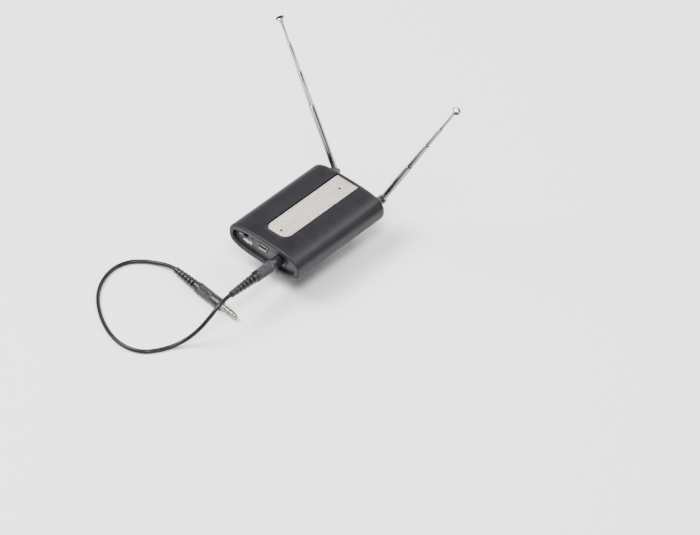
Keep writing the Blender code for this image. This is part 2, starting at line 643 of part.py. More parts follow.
def plug(name, front, rotation):
    """Plug whose local +Z is the way it is pushed in; front is the barrel's front face."""
    hub = bpy.data.objects.new(f"{name}_hub", None)
    bpy.context.scene.collection.objects.link(hub)
    place(hub, front, rotation)
    radius = 1.75 * MM
    turned(f"{name}_pin", [
        (radius, -1.0 * MM), (radius, 10.6 * MM), (1.5 * MM, 10.9 * MM), (1.55 * MM, 11.3 * MM),
        (1.72 * MM, 11.8 * MM), (0.9 * MM, PIN_LENGTH - 0.6 * MM), (0.4 * MM, PIN_LENGTH - 0.2 * MM)],
        "nickel", hub, 14)
    turned(f"{name}_barrel", [
        (radius + GAP, -1.4 * MM), (radius + GAP, 0.0), (PLUG_RADIUS - 0.5 * MM, 0.0),
        (PLUG_RADIUS, -0.5 * MM), (PLUG_RADIUS, -PLUG_BARREL + 0.8 * MM),
        (PLUG_RADIUS - 0.5 * MM, -PLUG_BARREL), (2.85 * MM, -PLUG_BARREL),
        (2.85 * MM, -PLUG_BARREL + 1.6 * MM)], "grip_grey", hub, 20)
    relief = turned(f"{name}_relief", relief_profile(), "lead_black", hub, 14)
    place(relief, (0, 0, -PLUG_BARREL))


def smooth_route(route, count):
    """Points at even spacing along a Catmull-Rom curve through the route."""
    points = [Vector(point) * MM for point in route]
    ends = [2 * points[0] - points[1]] + points + [2 * points[-1] - points[-2]]
    fine = []
    steps = 24
    for a, b, c, d in zip(ends, ends[1:], ends[2:], ends[3:]):
        for step in range(steps):
            t = step / steps
            fine.append(0.5 * ((2 * b) + (c - a) * t + (2 * a - 5 * b + 4 * c - d) * t * t
                               + (3 * b - a - 3 * c + d) * t ** 3))
    fine.append(points[-1])
    lengths = [0.0]
    for a, b in zip(fine, fine[1:]):
        lengths.append(lengths[-1] + (b - a).length)
    even = []
    segment = 0
    for i in range(count):
        goal = lengths[-1] * i / (count - 1)
        while segment < len(fine) - 2 and lengths[segment + 1] < goal:
            segment += 1
        span = lengths[segment + 1] - lengths[segment]
        even.append(fine[segment].lerp(fine[segment + 1], (goal - lengths[segment]) / span))
    return even


def lead():
    curve = bpy.data.curves.new("lead_cord", 'CURVE')
    curve.dimensions = '3D'
    curve.bevel_depth = LEAD_RADIUS
    curve.bevel_resolution = 2
    curve.use_fill_caps = True
    points = smooth_route(LEAD_ROUTE, LEAD_POINTS)
    spline = curve.splines.new('POLY')
    spline.points.add(len(points) - 1)
    for spline_point, point in zip(spline.points, points):
        spline_point.co = (*point, 1.0)
    cord = bpy.data.objects.new("lead_cord", curve)
    bpy.context.scene.collection.objects.link(cord)
    curve.materials.append(finish("lead_black"))


# ---------------------------------------------------------------- assembly

def build():
    for old in list(bpy.data.objects):
        bpy.data.objects.remove(old, do_unlink=True)
    upper_shell()
    lower_shell()
    case_screws()
    near_panel()
    far_panel()
    inlay_plate()
    electronics()
    usb_socket()
    jack_socket()
    power_switch()
    status_led()
    shoe_adapter()
    lock_wheel()
    for name, settings in ANTENNAS.items():
        antenna(name, settings)
    plug("socket_plug", (JACK_X, PLUG_FRONT_Y, SOCKET_Z), TO_PLUS_Y)
    heading = Matrix.Rotation(math.radians(FAR_PLUG_HEADING), 4, 'Z') @ Matrix.Rotation(
        math.pi / 2, 4, 'Y')
    plug("far_plug", FAR_PLUG_FRONT, heading.to_euler())
    lead()


build()
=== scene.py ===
import json
import math

import bmesh
import bpy
from mathutils import Matrix, Vector


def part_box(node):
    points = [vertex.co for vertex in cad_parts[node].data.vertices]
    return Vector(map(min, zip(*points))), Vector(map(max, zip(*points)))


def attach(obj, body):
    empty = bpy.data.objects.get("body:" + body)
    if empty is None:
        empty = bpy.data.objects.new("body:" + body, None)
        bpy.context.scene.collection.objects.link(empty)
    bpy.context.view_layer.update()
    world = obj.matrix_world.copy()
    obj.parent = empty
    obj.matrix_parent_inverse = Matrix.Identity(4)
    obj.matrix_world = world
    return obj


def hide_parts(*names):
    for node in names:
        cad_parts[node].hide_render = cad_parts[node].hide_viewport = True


# Looks of a clip-on wireless receiver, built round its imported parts. Metres, +Z up.

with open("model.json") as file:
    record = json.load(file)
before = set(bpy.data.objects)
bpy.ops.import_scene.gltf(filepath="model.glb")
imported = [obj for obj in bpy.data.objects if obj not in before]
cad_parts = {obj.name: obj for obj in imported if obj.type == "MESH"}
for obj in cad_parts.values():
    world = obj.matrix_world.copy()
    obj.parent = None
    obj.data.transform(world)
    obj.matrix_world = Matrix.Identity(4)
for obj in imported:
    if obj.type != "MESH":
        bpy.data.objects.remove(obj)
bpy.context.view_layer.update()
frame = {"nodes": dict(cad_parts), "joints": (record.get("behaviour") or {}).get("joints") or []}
nodes = frame["nodes"]
joints = {joint["name"]: joint for joint in frame["joints"]}
mm = 0.001
print("frame loaded:", len(nodes), "nodes")


# Placing

def at(x, y, z=0.0):
    return Matrix.Translation((x, y, z))


def middle(node):
    low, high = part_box(node)
    return (low + high) / 2


def axesPlace(origin, zAxis, xAxis):
    z = Vector(zAxis).normalized()
    x = Vector(xAxis)
    x = (x - z * x.dot(z)).normalized()
    turn = Matrix((x, z.cross(x), z)).transposed().to_4x4()
    return Matrix.Translation(Vector(origin)) @ turn


def spanAlong(node, origin, axis):
    # how far a node reaches along an axis, from an origin on it
    direction = Vector(axis).normalized()
    reach = [(vertex.co - Vector(origin)).dot(direction) for vertex in nodes[node].data.vertices]
    return min(reach), max(reach)


def addObject(name, data):
    obj = bpy.data.objects.new(name, data)
    bpy.context.scene.collection.objects.link(obj)
    return obj


def linkPiece(name, mesh, finish, body, stands=(), place=None):
    # a visible piece, riding on a body and standing for the named nodes
    piece = addObject(name, mesh)
    if place is not None:
        piece.matrix_world = place
    mesh.materials.clear()
    mesh.materials.append(materials[finish])
    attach(piece, body)
    if stands:
        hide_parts(*stands)
    return piece


# Meshes

def closedMesh(name, bm, sharpAngle=38):
    bmesh.ops.remove_doubles(bm, verts=bm.verts, dist=1e-7)
    bmesh.ops.recalc_face_normals(bm, faces=bm.faces)
    mesh = bpy.data.meshes.new(name)
    bm.to_mesh(mesh)
    bm.free()
    shadeRound(mesh, sharpAngle)
    return mesh


def shadeRound(mesh, sharpAngle=38):
    mesh.shade_smooth()
    mesh.set_sharp_from_angle(angle=math.radians(sharpAngle))


def joinRings(bm, rings, loop=False, caps=True):
    # quads between rings of equal length; a ring of one vertex closes to a point
    pairs = list(zip(rings, rings[1:]))
    if loop:
        pairs.append((rings[-1], rings[0]))
    elif caps:
        for ring in (rings[0], rings[-1]):
            if len(ring) > 2:
                bm.faces.new(ring)
    for lower, upper in pairs:
        for i in range(max(len(lower), len(upper))):
            j = i + 1
            corners = [lower[i % len(lower)], lower[j % len(lower)],
                       upper[j % len(upper)], upper[i % len(upper)]]
            bm.faces.new(list(dict.fromkeys(corners)))


def softened(points, radius, steps=3, loop=False):
    # rounds the corners of a 2D outline; each fillet is a short curve
    result = []
    count = len(points)
    for k, here in enumerate(points):
        if not loop and k in (0, count - 1):
            result.append(here)
            continue
        corner = Vector(here)
        ends = []
        for other in (points[k - 1], points[(k + 1) % count]):
            step = Vector(other) - corner
            reach = min(radius, step.length * 0.45)
            ends.append(corner + step.normalized() * reach if step.length else corner)
        for s in range(steps + 1):
            t = s / steps
            bend = ends[0] * (1 - t) ** 2 + corner * 2 * t * (1 - t) + ends[1] * t ** 2
            result.append(tuple(bend))
    return result


def roundRing(bm, sides, radius, height):
    # one ring of points about Z; radius is a number, or gives one for each point
    ring = []
    for i in range(sides):
        angle = 2 * math.pi * i / sides
        r = radius(i) if callable(radius) else radius
        ring.append(bm.verts.new((r * math.cos(angle), r * math.sin(angle), height)))
    return ring


def domeProfile(radius, base, rise, steps, first=1):
    # quarter ellipse up to the axis, to end a turned profile
    points = []
    for s in range(first, steps + 1):
        angle = s / steps * math.pi / 2
        across = radius * math.cos(angle) if s < steps else 0
        points.append((across, base + rise * math.sin(angle)))
    return points


def addBlock(bm, size, place):
    bmesh.ops.create_cube(bm, size=1.0, matrix=place @ Matrix.Diagonal((*size, 1)))


def turnedMesh(name, profile, segments=48, bored=False, sharpAngle=38):
    # solid of revolution about Z from (radius, height) points
    bm = bmesh.new()
    rings = []
    for radius, height in profile:
        rings.append(roundRing(bm, segments if radius else 1, radius, height))
    joinRings(bm, rings, loop=bored)
    return closedMesh(name, bm, sharpAngle)


def prismMesh(name, outlineAt, levels, sharpAngle=38):
    # upright prism; outlineAt(inset) gives the outline, levels are (height, inset)
    bm = bmesh.new()
    rings = [[bm.verts.new((x, y, height)) for x, y in outlineAt(inset)]
             for height, inset in levels]
    joinRings(bm, rings)
    return closedMesh(name, bm, sharpAngle)


def pointsAlong(fine, stops):
    # points at the given distances along a polyline, and its whole length
    lengths = [0.0]
    for a, b in zip(fine, fine[1:]):
        lengths.append(lengths[-1] + (b - a).length)
    walk = []
    segment = 0
    for goal in stops(lengths[-1]):
        while segment < len(fine) - 2 and lengths[segment + 1] < goal:
            segment += 1
        share = (goal - lengths[segment]) / (lengths[segment + 1] - lengths[segment])
        walk.append(fine[segment].lerp(fine[segment + 1], share))
    return walk, lengths[-1]


def roundRect(halfX, halfY, radius, steps=6):
    # outline of a rectangle with round corners; radius is one number or one for each corner
    radii = radius if isinstance(radius, (list, tuple)) else (radius,) * 4
    corners = ((-1, -1), (1, -1), (1, 1), (-1, 1))

    def outline(inset):
        points = []
        for number, (sideX, sideY) in enumerate(corners):
            r = max(radii[number] - inset, 0.02 * mm)
            centreX = sideX * (halfX - inset - r)
            centreY = sideY * (halfY - inset - r)
            for s in range(steps + 1):
                angle = math.pi * (1 + number * 0.5) + s / steps * math.pi / 2
                points.append((centreX + r * math.cos(angle), centreY + r * math.sin(angle)))
        return points
    return outline


def roundedBlock(name, size, radius, steps=3):
    bm = bmesh.new()
    bmesh.ops.create_cube(bm, size=1.0)
    bmesh.ops.scale(bm, vec=size, verts=bm.verts)
    bmesh.ops.bevel(bm, geom=bm.edges[:], offset=radius, segments=steps, affect='EDGES',
                    profile=0.5)
    return closedMesh(name, bm)


def pegMesh(radius, low, high, segments=40):
    return turnedMesh("peg", [(0, low), (radius, low), (radius, high), (0, high)], segments)


def steppedBore(wide, narrow, low, step, high):
    # tool for a screw hole: wide below the step, narrow above it
    return turnedMesh("bore", [(0, low), (wide, low), (wide, step), (narrow, step),
                               (narrow, high), (0, high)], 40)


def carve(piece, mesh, place=None, operation='DIFFERENCE'):
    # applies one Boolean and removes its tool
    tool = addObject("tool", mesh)
    if place is not None:
        tool.matrix_world = place
    modifier = piece.modifiers.new("carve", 'BOOLEAN')
    modifier.operation = operation
    modifier.object = tool
    modifier.solver = 'EXACT'
    settle(piece)
    bpy.data.objects.remove(tool, do_unlink=True)


def settle(piece, sharpAngle=38):
    # keeps the evaluated mesh and drops the modifiers
    bpy.context.view_layer.update()
    depsgraph = bpy.context.evaluated_depsgraph_get()
    mesh = bpy.data.meshes.new_from_object(piece.evaluated_get(depsgraph))
    mesh.name = piece.name
    piece.modifiers.clear()
    piece.data = mesh
    shadeRound(mesh, sharpAngle)


def breakEdges(piece, width, segments=2, angle=42):
    # small round on every hard edge
    modifier = piece.modifiers.new("breakEdges", 'BEVEL')
    modifier.width = width
    modifier.segments = segments
    modifier.limit_method = 'ANGLE'
    modifier.angle_limit = math.radians(angle)
    modifier.use_clamp_overlap = True
    settle(piece, 50)


# Shader helpers

def addNode(tree, kind, values=None, **settings):
    node = tree.nodes.new(kind)
    for key, value in settings.items():
        setattr(node, key, value)
    for key, value in (values or {}).items():
        if isinstance(value, bpy.types.NodeSocket):
            tree.links.new(value, node.inputs[key])
        else:
            node.inputs[key].default_value = value
    return node


def mathNode(tree, operation, first, second=0.0, clamp=False):
    node = addNode(tree, "ShaderNodeMath", {0: first, 1: second}, operation=operation,
                   use_clamp=clamp)
    return node.outputs[0]


def blendColour(tree, factor, first, second):
    node = addNode(tree, "ShaderNodeMix", {0: factor, 6: first, 7: second}, data_type='RGBA')
    return node.outputs[2]


def localPoint(tree):
    return addNode(tree, "ShaderNodeTexCoord").outputs["Object"]


def noise(tree, place, scale, detail, roughness=0.5):
    node = addNode(tree, "ShaderNodeTexNoise", {"Vector": place, "Scale": scale,
                                                "Detail": detail, "Roughness": roughness})
    return node.outputs[0]


def spread(tree, value, fromLow, fromHigh, toLow, toHigh):
    node = addNode(tree, "ShaderNodeMapRange", {0: value, 1: fromLow, 2: fromHigh, 3: toLow,
                                                4: toHigh})
    return node.outputs[0]


def newGroup(name, inputs, outputs):
    group = bpy.data.node_groups.new(name, "ShaderNodeTree")
    for label, value in inputs.items():
        socket = group.interface.new_socket(label, in_out='INPUT', socket_type="NodeSocketFloat")
        socket.default_value = value
    for label in outputs:
        group.interface.new_socket(label, in_out='OUTPUT', socket_type="NodeSocketFloat")
    source = group.nodes.new("NodeGroupInput")
    target = group.nodes.new("NodeGroupOutput")
    return group, source, target


def mouldGrain():
    # spark-eroded mould texture: Height for a bump, Tone for slow patches
    group, source, target = newGroup("mouldGrain", {"Scale": 2400.0, "Patch": 60.0},
                                     ("Height", "Tone"))
    place = localPoint(group)
    fine = noise(group, place, source.outputs["Scale"], 3.0, 0.6)
    pits = addNode(group, "ShaderNodeTexVoronoi", {
        "Vector": place, "Scale": mathNode(group, 'MULTIPLY', source.outputs["Scale"], 0.55)},
        feature='SMOOTH_F1')
    height = mathNode(group, 'MULTIPLY_ADD', fine, 0.6)
    group.links.new(mathNode(group, 'MULTIPLY', pits.outputs["Distance"], 0.4),
                    height.node.inputs[2])
    slow = noise(group, place, source.outputs["Patch"], 4.0, 0.55)
    group.links.new(height, target.inputs["Height"])
    group.links.new(slow, target.inputs["Tone"])
    return group


def edgeWearAndHighlight():
    # mask along outside edges, broken up by noise; lightens worn edges, and on some finishes paints
    # an edge highlight
    group, source, target = newGroup("edgeWearAndHighlight", {"Radius": 0.4 * mm, "Gain": 6.0,
                                                  "Scale": 700.0}, ("Mask",))
    bent = addNode(group, "ShaderNodeBevel", {"Radius": source.outputs["Radius"]}, samples=6)
    flat = addNode(group, "ShaderNodeNewGeometry")
    match = addNode(group, "ShaderNodeVectorMath", {0: bent.outputs[0],
                                                    1: flat.outputs["Normal"]},
                    operation='DOT_PRODUCT')
    edge = mathNode(group, 'SUBTRACT', 1.0, match.outputs["Value"])
    edge = mathNode(group, 'MULTIPLY', edge, source.outputs["Gain"], clamp=True)
    patch = noise(group, localPoint(group), source.outputs["Scale"], 4.0)
    broken = spread(group, patch, 0.42, 0.62, 0.0, 1.0)
    group.links.new(mathNode(group, 'MULTIPLY', edge, broken, clamp=True), target.inputs["Mask"])
    return group


def settledDust():
    # thin dust on what faces up
    group, source, target = newGroup("settledDust", {"Amount": 0.1, "Scale": 300.0}, ("Mask",))
    normal = addNode(group, "ShaderNodeNewGeometry").outputs["Normal"]
    up = addNode(group, "ShaderNodeSeparateXYZ", {0: normal}).outputs["Z"]
    facing = spread(group, up, 0.1, 0.95, 0.0, 1.0)
    specks = noise(group, localPoint(group), source.outputs["Scale"], 6.0, 0.7)
    mask = mathNode(group, 'MULTIPLY', facing, spread(group, specks, 0.4, 0.75, 0.0, 1.0))
    mask = mathNode(group, 'MULTIPLY', mask, source.outputs["Amount"], clamp=True)
    group.links.new(mask, target.inputs["Mask"])
    return group


def drawnStreaks():
    # fine lines along local Z, as left by drawing or turning
    group, source, target = newGroup("drawnStreaks", {"Across": 4000.0, "Along": 40.0},
                                     ("Height",))
    place = localPoint(group)
    sizes = addNode(group, "ShaderNodeCombineXYZ", {0: source.outputs["Across"],
                                                    1: source.outputs["Across"],
                                                    2: source.outputs["Along"]})
    stretched = addNode(group, "ShaderNodeVectorMath", {0: place, 1: sizes.outputs[0]},
                        operation='MULTIPLY')
    group.links.new(noise(group, stretched.outputs[0], 1.0, 2.0), target.inputs["Height"])
    return group


effects = {"grain": mouldGrain(), "wearAndHighlight": edgeWearAndHighlight(), "dust": settledDust(),
           "streaks": drawnStreaks()}
dustTone = (0.32, 0.30, 0.28)


def placeEffect(tree, effect, **values):
    node = addNode(tree, "ShaderNodeGroup", node_tree=effects[effect])
    for label, value in values.items():
        node.inputs[label].default_value = value
    return node


def colour(tone):
    return (*tone, 1.0)


def newMaterial(name):
    material = bpy.data.materials.new(name)
    material.use_nodes = True
    return material, material.node_tree, material.node_tree.nodes["Principled BSDF"]


def finishMaterial(name, look):
    # one finish from its own values: two tones, a roughness span, grain, lighter edges (worn edges,
    # and a painted edge highlight on caseBlack and gripGrey) and dust
    material, tree, shader = newMaterial(name)
    shader.inputs["Metallic"].default_value = look.get("metallic", 0.0)
    for label, value in look.get("shader", {}).items():
        shader.inputs[label].default_value = value
    grain = placeEffect(tree, "grain", Scale=look["grain"], Patch=look.get("patch", 60.0))
    tint = blendColour(tree, spread(tree, grain.outputs["Tone"], 0.35, 0.65, 0.0, 1.0),
                       colour(look["tones"][0]), colour(look["tones"][1]))
    # lighter edges: worn edges on most finishes, a painted highlight on the case rims and the knurl
    # ridges
    wearAndHighlight = placeEffect(tree, "wearAndHighlight", Radius=look.get("wearAndHighlightRadius", 0.35 * mm),
                       Gain=look.get("wearAndHighlightGain", 4.0))
    wornAndHighlit = mathNode(tree, 'MULTIPLY', wearAndHighlight.outputs["Mask"], look.get("wearAndHighlightAmount", 0.5))
    tint = blendColour(tree, wornAndHighlit, tint, colour(look.get("wearAndHighlightTone", look["tones"][1])))
    dust = placeEffect(tree, "dust", Amount=look.get("dust", 0.08))
    tint = blendColour(tree, dust.outputs["Mask"], tint, colour(dustTone))
    tree.links.new(tint, shader.inputs["Base Color"])
    rough = mathNode(tree, 'MULTIPLY_ADD', dust.outputs["Mask"], 0.5)
    tree.links.new(spread(tree, grain.outputs["Tone"], 0.3, 0.7, *look["rough"]),
                   rough.node.inputs[2])
    tree.links.new(rough, shader.inputs["Roughness"])
    height = grain.outputs["Height"]
    if "streaks" in look:
        across, along = look["streaks"]
        height = placeEffect(tree, "streaks", Across=across, Along=along).outputs["Height"]
    bump = addNode(tree, "ShaderNodeBump", {"Height": height, "Distance": look["depth"],
                                            "Strength": look.get("bump", 0.5)})
    tree.links.new(bump.outputs[0], shader.inputs["Normal"])
    return material


finishes = {
    # the light edge tone here, spread over a wide radius, paints a highlight along the case rims
    "caseBlack": {"tones": ((0.0080, 0.0080, 0.0100), (0.0110, 0.0110, 0.0138)),
                  "rough": (0.36, 0.44), "grain": 2600.0, "depth": 0.03 * mm,
                  "wearAndHighlightTone": (0.10, 0.10, 0.105), "wearAndHighlightAmount": 0.5, "wearAndHighlightRadius": 0.8 * mm,
                  "wearAndHighlightGain": 5.0, "dust": 0.012,
                  "shader": {"Specular IOR Level": 0.24}},
    "bezelGrey": {"tones": ((0.038, 0.036, 0.036), (0.052, 0.049, 0.049)), "rough": (0.24, 0.34),
                  "grain": 2600.0, "depth": 0.03 * mm, "wearAndHighlightTone": (0.16, 0.155, 0.15),
                  "wearAndHighlightAmount": 0.6, "dust": 0.02},
    "panelGrey": {"tones": ((0.034, 0.035, 0.038), (0.047, 0.048, 0.051)), "rough": (0.5, 0.62),
                  "grain": 3400.0, "depth": 0.03 * mm, "wearAndHighlightTone": (0.10, 0.10, 0.10)},
    "socketBlack": {"tones": ((0.006, 0.006, 0.007), (0.010, 0.010, 0.011)), "rough": (0.3, 0.42),
                    "grain": 3000.0, "depth": 0.02 * mm, "wearAndHighlightTone": (0.05, 0.05, 0.05)},
    "switchGrey": {"tones": ((0.10, 0.102, 0.108), (0.14, 0.143, 0.15)), "rough": (0.4, 0.5),
                   "grain": 3000.0, "depth": 0.02 * mm, "wearAndHighlightTone": (0.16, 0.16, 0.16)},
    "nickel": {"tones": ((0.24, 0.225, 0.185), (0.33, 0.31, 0.26)), "rough": (0.3, 0.42),
               "metallic": 1.0, "grain": 2500.0, "depth": 0.01 * mm, "wearAndHighlightTone": (0.50, 0.47, 0.41),
               "dust": 0.03},
    "goldContact": {"tones": ((0.78, 0.52, 0.16), (0.9, 0.62, 0.22)), "rough": (0.2, 0.3),
                    "metallic": 1.0, "grain": 3000.0, "depth": 0.01 * mm, "dust": 0.0},
    "chrome": {"tones": ((0.36, 0.352, 0.345), (0.46, 0.452, 0.445)), "rough": (0.06, 0.14),
               "metallic": 1.0, "grain": 1500.0, "depth": 0.004 * mm, "bump": 0.25,
               "streaks": (5000.0, 60.0), "wearAndHighlightTone": (0.62, 0.61, 0.60), "dust": 0.02,
               "shader": {"Specular Tint": (0.16, 0.16, 0.16, 1.0)}},
    "hingeSteel": {"tones": ((0.085, 0.080, 0.078), (0.14, 0.135, 0.13)), "rough": (0.22, 0.34),
                   "metallic": 1.0, "grain": 2200.0, "depth": 0.01 * mm,
                   "wearAndHighlightTone": (0.42, 0.41, 0.40), "wearAndHighlightAmount": 0.6},
    "darkSteel": {"tones": ((0.16, 0.16, 0.17), (0.24, 0.24, 0.25)), "rough": (0.28, 0.42),
                  "metallic": 1.0, "grain": 2500.0, "depth": 0.02 * mm,
                  "wearAndHighlightTone": (0.45, 0.45, 0.46)},
    "anodised": {"tones": ((0.030, 0.030, 0.033), (0.045, 0.045, 0.048)), "rough": (0.32, 0.42),
                 "metallic": 0.85, "grain": 3500.0, "depth": 0.02 * mm,
                 "wearAndHighlightTone": (0.5, 0.5, 0.5), "wearAndHighlightAmount": 0.45},
    # the light edge tone here paints glints on the knurl ridges
    "gripGrey": {"tones": ((0.024, 0.025, 0.029), (0.038, 0.040, 0.045)), "rough": (0.26, 0.38),
                 "metallic": 0.6, "grain": 3000.0, "depth": 0.015 * mm,
                 "wearAndHighlightTone": (0.36, 0.36, 0.37), "wearAndHighlightAmount": 0.6, "wearAndHighlightRadius": 0.2 * mm},
    "reliefBlack": {"tones": ((0.007, 0.007, 0.008), (0.011, 0.011, 0.012)), "rough": (0.26, 0.34),
                    "grain": 1800.0, "depth": 0.02 * mm, "wearAndHighlightTone": (0.07, 0.07, 0.07),
                    "wearAndHighlightAmount": 0.5, "dust": 0.03, "shader": {"Specular IOR Level": 0.5}},
    "leadBlack": {"tones": ((0.006, 0.006, 0.007), (0.010, 0.010, 0.011)), "rough": (0.26, 0.36),
                  "grain": 1800.0, "depth": 0.02 * mm, "wearAndHighlightTone": (0.03, 0.03, 0.03),
                  "dust": 0.02, "shader": {"Specular IOR Level": 0.26}},
    "smokedLens": {"tones": ((0.030, 0.014, 0.012), (0.050, 0.022, 0.018)), "rough": (0.08, 0.16),
                   "grain": 1200.0, "depth": 0.003 * mm, "wearAndHighlightAmount": 0.1, "dust": 0.02,
                   "shader": {"Coat Weight": 0.6, "Coat Roughness": 0.05}},
    "foilSilver": {"tones": ((0.48, 0.49, 0.50), (0.60, 0.61, 0.63)), "rough": (0.32, 0.5),
                   "metallic": 1.0, "grain": 900.0, "depth": 0.05 * mm},
    "boardGreen": {"tones": ((0.010, 0.075, 0.035), (0.020, 0.120, 0.060)), "rough": (0.35, 0.5),
                   "grain": 1500.0, "patch": 420.0, "depth": 0.04 * mm},
    "markWhite": {"tones": ((0.62, 0.64, 0.66), (0.75, 0.77, 0.78)), "rough": (0.5, 0.6),
                  "grain": 4000.0, "depth": 0.01 * mm},
}
materials = {name: finishMaterial(name, look) for name, look in finishes.items()}


def speckledInlay(name, look):
    # satin champagne coat with fine light and dark flakes
    material, tree, shader = newMaterial(name)
    shader.inputs["Metallic"].default_value = look["metallic"]
    place = localPoint(tree)
    flakes = addNode(tree, "ShaderNodeTexVoronoi", {"Vector": place, "Scale": look["flakeScale"]})
    cloud = noise(tree, place, look["cloudScale"], 5.0, 0.65)
    pick = addNode(tree, "ShaderNodeSeparateColor", {0: flakes.outputs["Color"]}).outputs[0]
    tint = blendColour(tree, spread(tree, cloud, 0.35, 0.65, 0.0, 1.0),
                       colour(look["base"]), colour(look["warm"]))
    dark = spread(tree, pick, 0.80, 0.95, 0.0, look["flakeShare"])
    light = spread(tree, pick, 0.20, 0.05, 0.0, look["flakeShare"])
    tint = blendColour(tree, dark, tint, colour(look["darkFlake"]))
    tint = blendColour(tree, light, tint, colour(look["lightFlake"]))
    wearAndHighlight = placeEffect(tree, "wearAndHighlight", Radius=0.2 * mm, Gain=3.0)
    tint = blendColour(tree, mathNode(tree, 'MULTIPLY', wearAndHighlight.outputs[0], 0.5), tint,
                       colour(look["lightFlake"]))
    tree.links.new(tint, shader.inputs["Base Color"])
    tree.links.new(spread(tree, pick, 0.0, 1.0, *look["rough"]), shader.inputs["Roughness"])
    bump = addNode(tree, "ShaderNodeBump", {"Height": pick, "Distance": look["depth"],
                                            "Strength": 0.35})
    tree.links.new(bump.outputs[0], shader.inputs["Normal"])
    return material


materials["inlay"] = speckledInlay("inlay", {
    "base": (0.44, 0.395, 0.365), "warm": (0.53, 0.475, 0.44), "darkFlake": (0.24, 0.205, 0.18),
    "lightFlake": (0.72, 0.67, 0.63), "flakeScale": 1900.0, "cloudScale": 700.0,
    "flakeShare": 0.7, "rough": (0.42, 0.62), "metallic": 0.15, "depth": 0.02 * mm})
print("materials made:", len(materials))


# Camera, floor and lights

view = {"azimuth": 42.75, "elevation": 42.25, "distance": 3.4286, "focal": 308.57,
        "sensor": 36.0, "clip": (0.05, 50.0), "aim": (0.0403, -0.0072, 0.0179)}


def placeCamera():
    azimuth = math.radians(view["azimuth"])
    elevation = math.radians(view["elevation"])
    back = Vector((math.sin(azimuth) * math.cos(elevation),
                   -math.cos(azimuth) * math.cos(elevation), math.sin(elevation)))
    data = bpy.data.cameras.new("camera")
    data.lens = view["focal"]
    data.sensor_width = view["sensor"]
    data.clip_start, data.clip_end = view["clip"]
    camera = addObject("camera", data)
    camera.location = Vector(view["aim"]) + back * view["distance"]
    camera.rotation_euler = (-back).to_track_quat('-Z', 'Y').to_euler()
    bpy.context.scene.camera = camera


placeCamera()

studio = {
    "floorTone": (0.92, 0.92, 0.925), "fibreTone": (0.95, 0.95, 0.955), "fibreScale": 900.0,
    "floorRough": 0.75, "floorHalf": 6.0, "worldTone": (0.94, 0.96, 1.0),
    "worldStrength": 0.26, "aimHeight": 0.03,
    "lamps": (  # name, direction from the object, distance, size, power, tone
        ("keyLeft", (-0.40, -0.35, 0.85), 1.7, (1.0, 1.0), 66.0, (1.0, 0.99, 0.98)),
        ("highBack", (0.20, 0.54, 0.81), 1.6, (0.75, 0.60), 13.0, (1.0, 1.0, 1.0)),
        ("backRight", (0.66, 0.54, 0.44), 1.6, (0.90, 0.60), 4.0, (1.0, 1.0, 1.0)),
        ("backLow", (-0.30, 0.85, 0.26), 1.5, (1.2, 0.60), 11.0, (1.0, 0.98, 0.97)),
        ("rimFill", (0.36, -0.36, 0.86), 1.7, (0.42, 0.42), 27.0, (0.97, 0.98, 1.0)),
    ),
}


def buildStudio():
    floorMesh = bpy.data.meshes.new("floor")
    half = studio["floorHalf"]
    floorMesh.from_pydata([(-half, -half, 0), (half, -half, 0), (half, half, 0), (-half, half, 0)],
                          [], [(0, 1, 2, 3)])
    floor = addObject("floor", floorMesh)
    material, tree, shader = newMaterial("floorPaper")
    fibre = noise(tree, localPoint(tree), studio["fibreScale"], 4.0)
    tint = blendColour(tree, fibre, colour(studio["floorTone"]), colour(studio["fibreTone"]))
    tree.links.new(tint, shader.inputs["Base Color"])
    shader.inputs["Roughness"].default_value = studio["floorRough"]
    floorMesh.materials.append(material)
    world = bpy.data.worlds.new("studio")
    world.use_nodes = True
    background = world.node_tree.nodes["Background"]
    background.inputs[0].default_value = colour(studio["worldTone"])
    background.inputs[1].default_value = studio["worldStrength"]
    bpy.context.scene.world = world
    for name, direction, distance, size, power, tone in studio["lamps"]:
        data = bpy.data.lights.new(name, 'AREA')
        data.shape = 'RECTANGLE'
        data.size, data.size_y = size
        data.energy = power
        data.color = tone
        lamp = addObject(name, data)
        away = Vector(direction).normalized()
        lamp.location = away * distance + Vector((0, 0, studio["aimHeight"]))
        lamp.rotation_euler = (-away).to_track_quat('-Z', 'Y').to_euler()


buildStudio()
print("camera and studio placed")


# Lead

leadLook = {
    "diameter": 2.5 * mm, "sides": 6, "points": 220,
    "route": [(11.3, -73.5, 24.6), (11.3, -79.0, 24.4), (11.3, -85.2, 22.7), (10.6, -91.4, 18.4),
              (8.6, -96.6, 12.8), (5.6, -101.4, 7.5), (2.2, -106.4, 3.6), (-1.2, -112.2, 1.6),
              (-4.6, -118.6, 1.3), (-9.6, -124.9, 1.3), (-17.0, -128.6, 1.3), (-26.0, -129.2, 1.3),
              (-35.4, -127.0, 1.3), (-44.6, -122.8, 1.3), (-53.0, -117.3, 1.3),
              (-60.4, -110.8, 1.3), (-66.2, -103.2, 1.3), (-70.0, -94.5, 1.3), (-71.2, -85.6, 1.3),
              (-68.8, -77.2, 1.3), (-63.2, -71.0, 1.4), (-56.4, -67.2, 1.9), (-50.0, -65.3, 2.9),
              (-45.0, -64.7, 3.5), (-40.95, -65.09, 3.6)],
}


